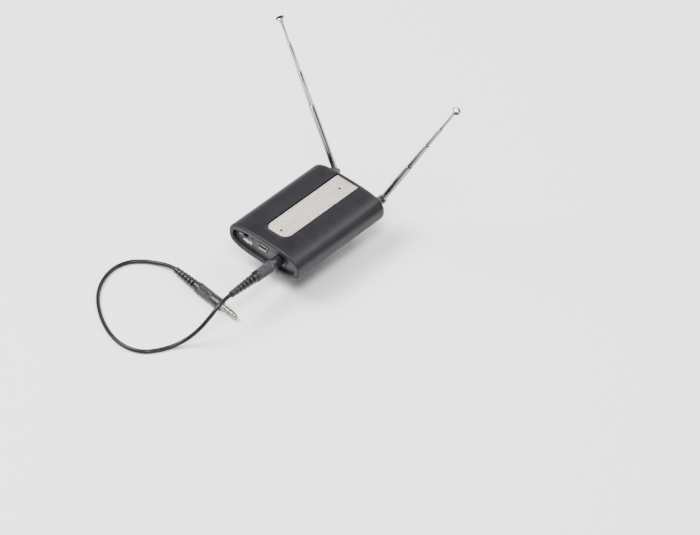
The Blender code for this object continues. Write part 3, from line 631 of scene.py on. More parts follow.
def smoothRoute(route, count, splits=24):
    # even points along a Catmull-Rom curve through the route
    points = [Vector(point) * mm for point in route]
    ends = [2 * points[0] - points[1]] + points + [2 * points[-1] - points[-2]]
    fine = []
    for a, b, c, d in zip(ends, ends[1:], ends[2:], ends[3:]):
        for step in range(splits):
            t = step / splits
            fine.append(0.5 * ((2 * b) + (c - a) * t + (2 * a - 5 * b + 4 * c - d) * t * t
                               + (3 * b - a - 3 * c + d) * t ** 3))
    fine.append(points[-1])
    return pointsAlong(fine, lambda length: [length * i / (count - 1) for i in range(count)])


def buildLead():
    points, length = smoothRoute(leadLook["route"], leadLook["points"])
    curve = bpy.data.curves.new("leadCord", 'CURVE')
    curve.dimensions = '3D'
    curve.bevel_depth = leadLook["diameter"] / 2
    curve.bevel_resolution = leadLook["sides"]
    curve.use_fill_caps = True
    spline = curve.splines.new('POLY')
    spline.points.add(len(points) - 1)
    for splinePoint, point in zip(spline.points, points):
        splinePoint.co = (*point, 1.0)
    spline.use_smooth = True
    cord = addObject("leadCord", curve)
    curve.materials.append(materials["leadBlack"])
    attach(cord, "lead")
    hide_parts("lead_cord")
    return cord, points, length


leadCord, leadPoints, leadLength = buildLead()
print("lead laid, length", round(leadLength, 4))


# Case

caseShape = {
    "halfX": 27.4 * mm, "halfZ": 9.5 * mm, "power": 3.0, "points": 170, "roundSteps": 6,
    "edgeRound": 0.9 * mm, "farRound": 0.6 * mm, "bezel": 1.6 * mm, "bezelStep": 0.4 * mm,
    "lipRound": 0.35 * mm, "rim": 3.2 * mm, "wall": 2.2 * mm, "cavityZ": 23.7 * mm,
    "cavityHalfZ": 6.6 * mm, "grooveHalfZ": 7.2 * mm, "farLip": 0.7 * mm,
    "nearRecess": 2.5 * mm, "farRecess": 1.5 * mm, "panelThick": 1.6 * mm,
    "seamRound": 0.22 * mm, "gap": 0.3 * mm, "edgeBreak": 0.14 * mm,
    "bossRadius": 2.7 * mm, "bossHeight": 2.2 * mm, "headSeat": 1.4 * mm, "headBore": 2.1 * mm,
    "shankBore": 1.0 * mm, "adapterBore": 1.4 * mm, "clear": 8 * mm,
}


def ovalPoint(halfX, halfZ, angle):
    power = caseShape["power"]
    share = abs(math.cos(angle) / halfX) ** power + abs(math.sin(angle) / halfZ) ** power
    reach = share ** (-1 / power)
    return reach * math.cos(angle), reach * math.sin(angle)


def ovalWalk(halfX, halfZ, start, end, stops, splits=900):
    # points at the given distances along the oval between two angles
    fine = [Vector(ovalPoint(halfX, halfZ, start + (end - start) * i / splits))
            for i in range(splits + 1)]
    return pointsAlong(fine, stops)[0]


def archRing(halfX, halfZ, midZ, y, cutZ, upper, outside):
    # the part of the oval above or below the seam, in from the seam by a small round
    rise = cutZ - midZ
    crossX = halfX * (1 - abs(rise / halfZ) ** caseShape["power"]) ** (1 / caseShape["power"])
    start = math.atan2(rise, crossX)
    end = math.pi - start
    if not upper:
        start, end = math.pi - start, 2 * math.pi + start
    count = caseShape["points"]
    tip = caseShape["seamRound"]

    def stops(length):
        inner = [tip + (length - 2 * tip) * i / (count - 3) for i in range(count - 2)]
        return [0.0, *inner, length]
    walk = ovalWalk(halfX, halfZ, start, end, stops)
    if outside:
        for k in (0, -1):
            walk[k].x *= 1 - tip / abs(walk[k].x)
    return [(point.x, y, midZ + point.y) for point in walk]


def quarterTurn(steps):
    # (inset, travel) of a quarter round with radius 1, from its end face inwards
    turns = [s / steps * math.pi / 2 for s in range(steps + 1)]
    return [(1 - math.sin(turn), 1 - math.cos(turn)) for turn in turns]


def caseStations(low, high):
    # loop of (y, half x, half z, mid z, outside) round the wall, near rim first
    shape = caseShape
    midZ = (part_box("upper_shell")[1].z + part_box("lower_shell")[0].z) / 2
    nearY, farY = low.y, high.y
    edge, farEdge, lip = shape["edgeRound"], shape["farRound"], shape["lipRound"]
    step = shape["bezelStep"]
    bezelY = farY - shape["bezel"]
    holdNear, holdFar = nearY + edge, bezelY - 0.25 * mm  # rings that keep the long sides even
    outside = [(nearY + edge * travel, edge * inset)
               for inset, travel in quarterTurn(shape["roundSteps"])]
    outside += [(holdNear + 0.3 * mm, 0), (holdNear + 1.2 * mm, 0), (holdNear + 5 * mm, 0),
                (holdFar - 5 * mm, 0), (holdFar - 1.2 * mm, 0), (holdFar - 0.3 * mm, 0),
                (holdFar, 0), (bezelY - 0.08 * mm, 0.07 * mm), (bezelY, 0.25 * mm), (bezelY, step)]
    outside += [(farY - farEdge * travel, step + farEdge * inset)
                for inset, travel in reversed(quarterTurn(shape["roundSteps"]))]
    stations = [(y, shape["halfX"] - inset, shape["halfZ"] - inset, midZ, True)
                for y, inset in outside]
    mouthX, mouthZ = shape["halfX"] - shape["rim"], shape["halfZ"] - shape["rim"]
    farMouthZ = shape["cavityHalfZ"] - shape["farLip"]
    for inset, travel in quarterTurn(2):
        stations.append((farY - lip * travel, mouthX + lip * inset, farMouthZ + lip * inset,
                         shape["cavityZ"], False))
    cavity = (shape["halfX"] - shape["wall"], shape["cavityHalfZ"], shape["cavityZ"], False)
    groove = (shape["halfX"] - shape["wall"] + shape["gap"], shape["grooveHalfZ"], midZ, False)
    farStep = farY - shape["farRecess"] + shape["gap"]
    nearStep = nearY + shape["nearRecess"] - shape["gap"]
    grooveEnd = nearStep + shape["panelThick"] + 2 * shape["gap"]
    stations += [(farStep, mouthX, farMouthZ, shape["cavityZ"], False), (farStep, *cavity),
                 (grooveEnd, *cavity), (grooveEnd, *groove), (nearStep, *groove),
                 (nearStep, mouthX, mouthZ, midZ, False)]
    for inset, travel in reversed(quarterTurn(2)):
        stations.append((nearY + lip * travel, mouthX + lip * inset, mouthZ + lip * inset, midZ,
                         False))
    return stations


def shellPiece(name, node, upper):
    low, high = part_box(node)
    cutZ = low.z if upper else high.z
    bm = bmesh.new()
    rings = []
    for y, halfX, halfZ, midZ, outside in caseStations(low, high):
        rings.append([bm.verts.new(point) for point in
                      archRing(halfX, halfZ, midZ, y, cutZ, upper, outside)])
    bezelY = high.y - caseShape["bezel"] - 0.01 * mm
    for first, second in zip(rings, rings[1:] + rings[:1]):
        onBezel = first[0].co.y > bezelY and second[0].co.y > bezelY
        for i in range(len(first) - 1):
            face = bm.faces.new((first[i], first[i + 1], second[i + 1], second[i]))
            face.material_index = 1 if onBezel else 0
    for k in (0, -1):
        bm.faces.new([ring[k] for ring in rings])
    piece = linkPiece(name, closedMesh(name, bm), "caseBlack", "case", (node,))
    piece.data.materials.append(materials["bezelGrey"])
    return piece


plateLook = {"corner": 4.6 * mm, "margin": 0.65 * mm, "farMargin": -0.3 * mm, "gap": 0.3 * mm,
             "farTrim": 0.45 * mm, "edge": 0.14 * mm, "open": 6 * mm, "lensRadius": 0.8 * mm,
             "lensGap": 0.12 * mm, "lensEase": 0.1 * mm, "lensRise": 0.12 * mm}


def plateOutline(low, high, extra):
    halfX = (high.x - low.x) / 2 + extra
    halfY = (high.y - low.y) / 2 + extra
    near = plateLook["corner"] + extra
    return roundRect(halfX, halfY, (near, near, 0.3 * mm, 0.3 * mm), steps=12)


def buildUpperCase():
    shell = shellPiece("upperCase", "upper_shell", True)
    low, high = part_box("inlay_plate")
    centre = middle("inlay_plate")
    floorZ = low.z - plateLook["gap"]
    shift = (plateLook["margin"] - plateLook["farMargin"]) / 2
    pocketHigh = high - Vector((0, 2 * shift, 0))        # little room at the far end
    pocket = prismMesh("pocket", plateOutline(low, pocketHigh, plateLook["margin"]),
                       [(floorZ, 0), (floorZ + plateLook["open"], 0)])
    carve(shell, pocket, at(centre.x, centre.y - shift))
    for node in ("indicator_window_1", "indicator_window_2"):
        lens = middle(node)
        hole = pegMesh(plateLook["lensRadius"] + plateLook["gap"], -2 * mm, 2 * mm, 24)
        carve(shell, hole, at(lens.x, lens.y, floorZ))
    breakEdges(shell, caseShape["edgeBreak"])


def buildLowerCase():
    shell = shellPiece("lowerCase", "lower_shell", False)
    shape, clear = caseShape, caseShape["clear"]
    bottom, top = (corner.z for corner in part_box("lower_shell"))
    for index in range(1, 5):                            # screw bosses, bored from below
        screw = middle(f"case_screw_{index}")
        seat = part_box(f"case_screw_{index}")[0].z + shape["headSeat"]
        boss = pegMesh(shape["bossRadius"], seat - shape["bossHeight"], top)
        carve(shell, boss, at(screw.x, screw.y), 'UNION')
        carve(shell, steppedBore(shape["headBore"], shape["shankBore"], seat - clear, seat,
                                 seat + clear), at(screw.x, screw.y))
    for index in (1, 2):
        screw = middle(f"adapter_screw_{index}")
        bore = pegMesh(shape["adapterBore"], -6 * mm, 6 * mm, 24)
        carve(shell, bore, at(screw.x, screw.y, bottom))
    breakEdges(shell, shape["edgeBreak"])


buildUpperCase()
buildLowerCase()
print("case shells built")


def buildInlay():
    low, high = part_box("inlay_plate")
    high -= Vector((0, plateLook["farTrim"], 0))         # stops short of the far bezel
    centre = (low + high) / 2
    edge = plateLook["edge"]
    plate = prismMesh("inlayPlate", plateOutline(low, high, 0), [
        (low.z, edge), (low.z + edge, 0), (high.z - edge, 0), (high.z - 0.4 * edge, 0.3 * edge),
        (high.z, edge)])
    piece = linkPiece("inlayPlate", plate, "inlay", "case", ("inlay_plate",),
                      at(centre.x, centre.y))
    radius = plateLook["lensRadius"]
    for index in (1, 2):
        node = f"indicator_window_{index}"
        bottom, top = (corner.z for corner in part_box(node))
        x, y = middle(node).xy
        carve(piece, pegMesh(radius + plateLook["lensGap"], low.z - mm, high.z + mm, 32),
              at(x, y))
        rim = top - plateLook["lensEase"]
        profile = [(0, bottom), (radius, bottom), (radius, rim),
                   *domeProfile(radius, rim, plateLook["lensRise"], 5)]
        linkPiece(f"indicatorLens{index}", turnedMesh(f"indicatorLens{index}", profile, 32),
                  "smokedLens", "case", (node,), at(x, y))


buildInlay()
print("inlay plate and indicators built")


# Socket end

socketEnd = {
    "panelEdge": 0.15 * mm, "edgeBreak": 0.12 * mm, "deep": 4 * mm, "windowGap": 0.3 * mm,
    "switchSlot": (6.6 * mm, 3.0 * mm), "slotCorner": 0.4 * mm,
    "ledHole": 1.0 * mm, "jackHole": 3.2 * mm, "rootHole": 3.2 * mm,
    "usbWall": 0.5 * mm, "usbNarrow": 0.85 * mm, "usbStep": 0.25 * mm,
    "contact": (0.4 * mm, 3.6 * mm, 0.16 * mm), "contactPitch": 0.8 * mm,
    "collarRadius": 4.5 * mm, "collarBore": 1.95 * mm, "collarNeck": 2.9 * mm,
    "flange": 0.7 * mm, "ledDome": 0.35 * mm,
}
facingNear = Matrix.Rotation(math.pi / 2, 4, 'X')       # local +Z points at -Y
facingFar = Matrix.Rotation(-math.pi / 2, 4, 'X')       # local +Z points at +Y


def panelPlate(name, node):
    # oval plate from the node's own box, edges eased
    low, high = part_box(node)
    halfX, halfZ = (high.x - low.x) / 2, (high.z - low.z) / 2
    ease = socketEnd["panelEdge"]

    def outline(inset):
        walk = ovalWalk(halfX - inset, halfZ - inset, 0, 2 * math.pi,
                        lambda length: [length * i / 140 for i in range(140)])
        return [(point.x, point.y) for point in walk]
    half = (high.y - low.y) / 2
    mesh = prismMesh(name, outline, [(-half, ease), (-half + ease, 0), (half - ease, 0),
                                     (half, ease)])
    return linkPiece(name, mesh, "panelGrey", "case", (node,),
                     Matrix.Translation(middle(node)) @ facingNear)


def usbOutline(halfX, halfZ):
    # mini-B section: full width above, narrower below, round corners
    narrow, step = socketEnd["usbNarrow"], socketEnd["usbStep"]

    def outline(inset):
        x, z = halfX - inset, halfZ - inset
        points = [(-x, step), (-x, z), (x, z), (x, step), (x - narrow, -z * 0.45),
                  (x - narrow, -z), (-x + narrow, -z), (-x + narrow, -z * 0.45)]
        return softened(points, 0.55 * mm, 4, loop=True)
    return outline


def buildSocketPanel():
    panel = panelPlate("socketPanel", "socket_panel")
    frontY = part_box("socket_panel")[0].y
    gap, deep = socketEnd["windowGap"], socketEnd["deep"]
    slotX, slotZ = socketEnd["switchSlot"]
    usbLow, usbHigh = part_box("usb_shell")
    usbX, usbZ = (usbHigh.x - usbLow.x) / 2, (usbHigh.z - usbLow.z) / 2
    slot = roundRect(slotX / 2, slotZ / 2, socketEnd["slotCorner"])
    through = ((-deep, 0), (deep, 0))
    openings = {
        "switch_housing": prismMesh("slot", slot, through),
        "status_led": pegMesh(socketEnd["ledHole"], -deep, deep, 32),
        "jack_collar": pegMesh(socketEnd["jackHole"], -deep, deep, 48),
        "usb_shell": prismMesh("window", usbOutline(usbX + gap, usbZ + gap), through),
    }
    for node, opening in openings.items():
        spot = middle(node)
        carve(panel, opening, at(spot.x, frontY, spot.z) @ facingNear)
    breakEdges(panel, socketEnd["edgeBreak"])


def buildPanelMarks():
    # plain upright ticks, printed beside the switch
    marks = {"x": -14.9 * mm, "z": 22.0 * mm, "pitch": 1.35 * mm, "width": 0.8 * mm,
             "heights": (1.6, 2.1, 2.8, 2.0, 2.6), "ink": 0.04 * mm}
    layers = ((-0.01 * mm, 0), (marks["ink"] * 0.7, 0), (marks["ink"], 0.03 * mm))
    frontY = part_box("socket_panel")[0].y
    bm = bmesh.new()
    for index, height in enumerate(marks["heights"]):
        x = marks["x"] + (index - 2) * marks["pitch"]
        outline = roundRect(marks["width"] / 2, height * mm / 2, 0.15 * mm, 3)
        joinRings(bm, [[bm.verts.new((x + across, frontY - level, marks["z"] + up))
                        for across, up in outline(inset)] for level, inset in layers])
    linkPiece("panelMarks", closedMesh("panelMarks", bm), "markWhite", "case")


def buildUsb():
    low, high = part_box("usb_shell")
    outline = usbOutline((high.x - low.x) / 2, (high.z - low.z) / 2)
    wall = socketEnd["usbWall"]
    half = (high.y - low.y) / 2
    bm = bmesh.new()
    levels = [(-half, 0.1 * mm), (-half + 0.1 * mm, 0), (half - 0.12 * mm, 0), (half, 0.1 * mm),
              (half, wall - 0.12 * mm), (half - 0.2 * mm, wall), (-half + 0.8 * mm, wall)]
    joinRings(bm, [[bm.verts.new((x, y, z)) for x, y in outline(inset)] for z, inset in levels])
    linkPiece("usbShell", closedMesh("usbShell", bm), "nickel", "case", ("usb_shell",),
              Matrix.Translation(middle("usb_shell")) @ facingNear)
    tongue = middle("usb_tongue")
    low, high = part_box("usb_tongue")
    linkPiece("usbTongue", roundedBlock("usbTongue", high - low, 0.15 * mm), "socketBlack",
              "case", ("usb_tongue",), Matrix.Translation(tongue))
    bm = bmesh.new()
    for index in range(-2, 3):
        addBlock(bm, socketEnd["contact"], at(tongue.x + index * socketEnd["contactPitch"],
                                              low.y + 2.3 * mm, low.z - 0.06 * mm))
    linkPiece("usbContacts", closedMesh("usbContacts", bm), "goldContact", "case")


def buildJackAndLed():
    low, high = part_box("jack_collar")
    front = (high.y - low.y) / 2
    radius, bore, neck = (socketEnd[key] for key in ("collarRadius", "collarBore", "collarNeck"))
    flange = front - socketEnd["flange"]
    profile = softened([(bore, -front), (neck, -front), (neck, flange), (radius, flange),
                        (radius, front), (bore + 1.1 * mm, front),
                        (bore + 0.5 * mm, front - 0.5 * mm), (bore, front - 0.6 * mm)],
                       0.2 * mm, 3, loop=True)
    collar = turnedMesh("jackCollar", profile, 56, bored=True)
    linkPiece("jackCollar", collar, "socketBlack", "case", ("jack_collar",),
              Matrix.Translation(middle("jack_collar")) @ facingNear)
    low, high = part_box("status_led")
    half, radius, dome = (high.y - low.y) / 2, (high.x - low.x) / 2, socketEnd["ledDome"]
    profile = [(0, -half), (radius, -half), (radius, half - dome),
               *domeProfile(radius, half - dome, dome, 6)]
    linkPiece("statusLens", turnedMesh("statusLens", profile, 28), "smokedLens", "case",
              ("status_led",),
              Matrix.Translation(middle("status_led")) @ facingNear)


def buildSwitch():
    # slider with three grip ribs on its face
    low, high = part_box("switch_lever")
    size = high - low
    centre = middle("switch_lever")
    slider = {"foot": 0.35 * mm, "rib": (0.36 * mm, 0.9 * mm, size.z * 0.86),
              "pitch": 0.72 * mm}
    body = roundedBlock("switchSlider", (size.x, size.y - slider["foot"], size.z), 0.3 * mm, 3)
    piece = linkPiece("switchSlider", body, "switchGrey", "power_switch",
                      ("switch_lever",),
                      Matrix.Translation(centre + Vector((0, slider["foot"] / 2, 0))))
    for index in (-1, 0, 1):
        rib = roundedBlock("rib", slider["rib"], 0.12 * mm, 2)
        carve(piece, rib, at(centre.x + index * slider["pitch"], low.y + 0.45 * mm, centre.z),
              'UNION')


buildSocketPanel()
buildPanelMarks()
buildUsb()
buildJackAndLed()
buildSwitch()
print("socket end built")


# Plugs

plugLook = {
    "radius": 3.5 * mm, "front": 6.6 * mm, "tail": 2.6 * mm, "sides": 40, "row": 0.55 * mm,
    "cut": 0.22 * mm, "ribs": 5, "root": 2.4 * mm, "pitch": 2.8 * mm, "gap": 1.35 * mm,
    "ribTop": 3.0 * mm, "ribTopEnd": 2.15 * mm, "neck": 1.5 * mm, "web": 0.9 * mm,
    "noseBore": 2.05 * mm, "tailBore": 2.85 * mm, "cordBore": 1.4 * mm,
    "pin": 1.75 * mm, "ringOuter": 1.78 * mm, "ringInner": 1.6 * mm, "ringWide": 0.65 * mm,
    "farTurn": -6.0, "farReach": 38.36,
}


def plugSleeve(name, length):
    # smooth nose, groove, then a diamond-cut grip; the front face is at z = 0
    look = plugLook
    radius, sides = look["radius"], look["sides"]
    bm = bmesh.new()
    valleys = []
    bore, tailBore = look["noseBore"], look["tailBore"]
    profile = softened([(bore, -1.4 * mm), (bore, 0), (radius, 0), (radius, -look["front"]),
                        (radius - 0.3 * mm, -look["front"] - 0.15 * mm),
                        (radius - 0.3 * mm, -look["front"] - 0.5 * mm)], 0.35 * mm, 4)
    rings = [roundRing(bm, sides, r, z) for r, z in profile]
    gripStart = -look["front"] - 0.75 * mm
    gripEnd = -length + look["tail"]
    rows = int(round((gripStart - gripEnd) / look["row"]))
    for row in range(rows + 1):
        rings.append(roundRing(bm, sides, lambda i: radius - look["cut"] * ((i + row) % 2),
                               gripStart + (gripEnd - gripStart) * row / rows))
        valleys += rings[-1][(row + 1) % 2::2]
    tail = softened([(radius - 0.25 * mm, gripEnd - 0.15 * mm),
                     (radius - 0.25 * mm, gripEnd - 0.35 * mm), (radius, gripEnd - 0.5 * mm),
                     (radius, -length), (tailBore, -length), (tailBore, -length + 1.6 * mm)],
                    0.2 * mm, 3)
    rings += [roundRing(bm, sides, r, z) for r, z in tail]
    joinRings(bm, rings)
    bmesh.ops.connect_verts(bm, verts=valleys)  # the cuts run from valley to valley
    return closedMesh(name, bm, 30)


def reliefTop(share):
    return plugLook["ribTop"] + (plugLook["ribTopEnd"] - plugLook["ribTop"]) * share


def plugRelief(name, length):
    # root collar, five rings and an end collar on a thin neck; the root is at z = 0
    look = plugLook
    neck, start, bore = look["neck"], -look["root"], look["cordBore"]
    profile = [(0, 1.2 * mm), (2.6 * mm, 1.2 * mm), (2.6 * mm, 0), (reliefTop(0), -0.1 * mm),
               (reliefTop(0), start)]
    for rib in range(look["ribs"]):
        top = reliefTop((rib + 1) / (look["ribs"] + 1))
        low = start - rib * look["pitch"]
        profile += [(neck, low - 0.1 * mm), (neck, low - look["gap"] + 0.1 * mm),
                    (top, low - look["gap"]), (top, low - look["pitch"])]
    low = start - look["ribs"] * look["pitch"]
    profile += [(neck, low - 0.1 * mm), (neck, low - look["gap"] + 0.1 * mm),
                (reliefTop(1), low - look["gap"]), (reliefTop(1) - 0.1 * mm, -length),
                (bore, -length), (bore, -length + 1.8 * mm), (0, -length + 1.8 * mm)]
    return turnedMesh(name, softened(profile, 0.3 * mm, 3), 44, sharpAngle=45)


def reliefWebs(name):
    # crossed webs that hold the rings apart
    look = plugLook
    bm = bmesh.new()
    for gap in range(look["ribs"] + 1):
        reach = 2 * reliefTop((gap + 0.5) / (look["ribs"] + 1)) - 0.3 * mm
        z = -look["root"] - gap * look["pitch"] - look["gap"] / 2
        deep = look["gap"] + 0.5 * mm
        for size in ((look["web"], reach, deep), (reach, look["web"], deep)):
            addBlock(bm, size, at(0, 0, z))
    bmesh.ops.bevel(bm, geom=bm.edges[:], offset=0.15 * mm, segments=2, affect='EDGES',
                    profile=0.5)
    return closedMesh(name, bm)


def plugPin(name, length):
    # three-pole pin with a ball tip; two black rings part the contacts
    radius = plugLook["pin"]
    profile = softened([(0, -1.0 * mm), (radius, -1.0 * mm), (radius, 10.4 * mm),
                        (1.42 * mm, 10.9 * mm), (1.5 * mm, 11.3 * mm), (1.74 * mm, 12.0 * mm),
                        (1.1 * mm, length - 0.7 * mm), (0.55 * mm, length - 0.15 * mm),
                        (0, length - 0.1 * mm)], 0.3 * mm, 3)
    return turnedMesh(name, profile, 40)


def pinRings(name):
    bm = bmesh.new()
    outer, inner, wide = (plugLook[key] for key in ("ringOuter", "ringInner", "ringWide"))
    for low in (4.6 * mm, 7.9 * mm):
        section = softened([(inner, low), (outer, low), (outer, low + wide),
                            (inner, low + wide)], 0.05 * mm, 2, loop=True)
        joinRings(bm, [roundRing(bm, 40, r, z) for r, z in section], loop=True)
    return closedMesh(name, bm)


def buildPlug(name, node, front, forward):
    place = axesPlace(front, forward, (0, 0, 1))
    barrelLow, barrelHigh = spanAlong(node + "_barrel", front, forward)
    reliefLow = spanAlong(node + "_relief", front, forward)[0]
    pinHigh = spanAlong(node + "_pin", front, forward)[1]
    length = barrelHigh - barrelLow
    reliefLength = -length - reliefLow
    back = place @ at(0, 0, -length)
    sleeve = linkPiece(name + "Sleeve", plugSleeve(name + "Sleeve", length), "gripGrey",
                       "lead", (node + "_barrel",), place)
    relief = linkPiece(name + "Relief", plugRelief(name + "Relief", reliefLength),
                       "reliefBlack", "lead", (node + "_relief",), back)
    webs = linkPiece(name + "ReliefWebs", reliefWebs(name + "ReliefWebs"),
                     "reliefBlack", "lead", place=back)
    pin = linkPiece(name + "Pin", plugPin(name + "Pin", pinHigh), "nickel", "lead",
                    (node + "_pin",), place)
    rings = linkPiece(name + "PinRings", pinRings(name + "PinRings"), "socketBlack",
                      "lead", place=place)
    return [sleeve, relief, webs, pin, rings]


socketFront = Vector((leadPoints[0].x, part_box("socket_plug_barrel")[1].y, leadPoints[0].z))
buildPlug("socketPlug", "socket_plug", socketFront, (0, 1, 0))
farTurn = math.radians(plugLook["farTurn"])
farHeading = Vector((math.cos(farTurn), math.sin(farTurn), 0))
farFront = leadPoints[-1] + farHeading * plugLook["farReach"] * mm
farPlug = buildPlug("farPlug", "far_plug", farFront, farHeading)
print("plugs built")


# Antennas

antennaLook = {
    "tubes": (1.75 * mm, 1.42 * mm, 1.09 * mm, 0.76 * mm), "wall": 0.18 * mm,
    "button": 2.6 * mm, "neck": 1.25 * mm, "collar": 2.3 * mm, "ear": 1.85 * mm,
    "tongue": 1.1 * mm, "earThick": 1.3 * mm, "pin": 0.7 * mm, "fit": 0.15 * mm,
    "bush": ((2.0, -3.4), (2.9, -3.4), (2.9, 0.3), (3.9, 0.3), (3.9, 1.5), (3.3, 2.0), (2.0, 2.0)),
    "flat": (10 * mm, 3.6 * mm, 1.6 * mm), "flatY": 5.3 * mm, "flatZ": 1.5 * mm,
    "spindle": 1.85 * mm, "disc": 3.2 * mm,
}


def lugMesh(name, radius, halfThick, reach, ease):
    # flat lug across local X, round at the origin, square at the reach end
    bm = bmesh.new()
    rings = []
    for x, inset in ((-halfThick, ease), (-halfThick + ease, 0), (halfThick - ease, 0),
                     (halfThick, ease)):
        r = radius - inset
        outline = [(-r, reach)]
        for step in range(25):
            angle = math.pi + step / 24 * math.pi
            outline.append((r * math.cos(angle), r * math.sin(angle)))
        outline.append((r, reach))
        rings.append([bm.verts.new((x, y, z)) for y, z in outline])
    joinRings(bm, rings)
    return closedMesh(name, bm)


def mouthProfile(radius, top):
    # pressed band and rolled mouth at the top of a drawn tube, from below up
    return [(radius, top - 1.05 * mm), (radius - 0.09 * mm, top - 0.95 * mm),
            (radius - 0.09 * mm, top - 0.65 * mm), (radius, top - 0.55 * mm),
            (radius, top - 0.14 * mm), (radius - 0.12 * mm, top)]


def tubeMesh(name, radius, bore, low, high):
    profile = [(0, low + 1.5 * mm), (bore, low + 1.5 * mm), (bore, high),
               *reversed(mouthProfile(radius, high)), (radius, low + 0.3 * mm),
               (radius - 0.15 * mm, low), (0, low)]
    return turnedMesh(name, profile, 36)


def buildAntenna(side):
    look = antennaLook
    tilt, slide = joints[f"{side}_tilt"], joints[f"{side}_second_slide"]
    pivot, rodAxis, pinAxis = Vector(tilt["pos_m"]), slide["axis"], tilt["axis"]
    place = axesPlace(pivot, rodAxis, pinAxis)
    swivel, mastBody = f"{side}_swivel", f"{side}_mast_body"
    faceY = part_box("antenna_panel")[1].y - pivot.y      # panel face, along local Y
    turnFar = place @ Matrix.Rotation(-math.pi / 2, 4, 'X')

    bush = softened([(r * mm, z * mm) for r, z in look["bush"]], 0.18 * mm, 3, loop=True)
    bushPlace = at(pivot.x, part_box("antenna_panel")[1].y, pivot.z) @ facingFar
    ferrule = linkPiece(f"{side}Ferrule", turnedMesh(f"{side}Ferrule", bush, 56, bored=True),
                        "hingeSteel", "case", (f"{side}_antenna_ferrule",),
                        bushPlace)
    for turn in (0, math.pi):                            # two wrench flats
        flat = Matrix.Rotation(turn, 4, 'Z') @ at(0, look["flatY"], look["flatZ"])
        carve(ferrule, roundedBlock("flat", look["flat"], 0.05 * mm, 1), bushPlace @ flat)

    discLow, discHigh = faceY + 2.3 * mm, -2.8 * mm
    stem, disc, stemLow = look["spindle"], look["disc"], faceY - 3.0 * mm
    spindle = softened([(0, stemLow), (stem, stemLow), (stem, discLow), (disc, discLow),
                        (disc, discHigh), (0, discHigh)], 0.3 * mm, 3)
    yoke = linkPiece(f"{side}Yoke", turnedMesh(f"{side}Yoke", spindle, 56),
                     "hingeSteel", swivel, (f"{side}_swivel_yoke",), turnFar)
    slotHalf = look["tongue"] + look["fit"]
    ears = lugMesh("ears", look["ear"], slotHalf + look["earThick"], -discHigh + 0.5 * mm, 0.2 * mm)
    carve(yoke, ears, place @ Matrix.Rotation(math.pi / 2, 4, 'X'), 'UNION')
    slot = roundedBlock("slot", (2 * slotHalf, 10 * mm, 10 * mm), 0.05 * mm, 1)
    carve(yoke, slot, place @ at(0, discHigh + 5 * mm))
    across = place @ Matrix.Rotation(math.pi / 2, 4, 'Y')
    carve(yoke, pegMesh(look["pin"] + look["fit"], -5 * mm, 5 * mm, 32), across)
    breakEdges(yoke, 0.1 * mm)

    pinHalf = slotHalf + look["earThick"] + 0.25 * mm
    pin = softened([(0, -pinHalf), (look["pin"], -pinHalf), (look["pin"], pinHalf), (0, pinHalf)],
                   0.16 * mm, 3)
    linkPiece(f"{side}HingePin", turnedMesh(f"{side}HingePin", pin, 32), "darkSteel",
              swivel, (f"{side}_hinge_pin",), across)

    collar, outer = look["collar"], look["tubes"][0]
    bore = outer - look["wall"]
    top = spanAlong(f"{side}_mast", pivot, rodAxis)[1]
    profile = softened([(0, collar), (1.45 * mm, collar), (outer, collar + 0.5 * mm),
                        (outer, collar + 2.4 * mm), (outer - 0.1 * mm, collar + 2.5 * mm),
                        (outer - 0.1 * mm, collar + 2.7 * mm), (outer, collar + 2.8 * mm)],
                       0.12 * mm, 2)
    profile += [*mouthProfile(outer, top), (bore, top), (bore, collar + 2.2 * mm),
                (0, collar + 2.2 * mm)]
    mast = linkPiece(f"{side}Mast", turnedMesh(f"{side}Mast", profile, 44), "chrome",
                     mastBody, (f"{side}_mast",), place)
    lug = lugMesh("lug", look["ear"] - 0.25 * mm, look["tongue"], collar + 0.8 * mm, 0.15 * mm)
    carve(mast, lug, place, 'UNION')
    carve(mast, pegMesh(look["pin"] + look["fit"], -5 * mm, 5 * mm, 32), across)

    for number, body in ((1, f"{side}_second"), (2, f"{side}_third")):
        node = f"{side}_tube_{number + 1}"
        radius = look["tubes"][number]
        low, high = spanAlong(node, pivot, rodAxis)
        tube = tubeMesh(f"{side}Tube{number + 1}", radius, radius - look["wall"], low, high)
        linkPiece(f"{side}Tube{number + 1}", tube, "chrome", body, (node,), place)

    rodRadius = look["tubes"][3]
    low, high = spanAlong(f"{side}_tip_rod", pivot, rodAxis)
    rod = turnedMesh(f"{side}TipRod", [
        (0, low), (rodRadius - 0.15 * mm, low), (rodRadius, low + 0.3 * mm), (rodRadius, high),
        (0, high)], 32)
    linkPiece(f"{side}TipRod", rod, "chrome", f"{side}_tip", (f"{side}_tip_rod",),
              place)
    low, high = spanAlong(f"{side}_tip_button", pivot, rodAxis)
    hole, neck, button = rodRadius + 0.1 * mm, look["neck"], look["button"]
    rim = high - 1.35 * mm
    profile = softened([(0, low + 2.9 * mm), (hole, low + 2.9 * mm), (hole, low), (neck, low),
                        (neck, low + 0.8 * mm), (neck - 0.2 * mm, low + 1.0 * mm),
                        (neck - 0.2 * mm, low + 1.4 * mm), (neck, low + 1.6 * mm), (neck, rim),
                        (button - 0.25 * mm, rim + 0.1 * mm), (button, rim + 0.45 * mm),
                        (button, rim + 0.8 * mm)], 0.12 * mm, 2)
    profile += domeProfile(button - 0.15 * mm, rim + 0.95 * mm, 0.4 * mm, 6, first=0)
    linkPiece(f"{side}TipButton", turnedMesh(f"{side}TipButton", profile, 44), "chrome",
              f"{side}_tip", (f"{side}_tip_button",), place)


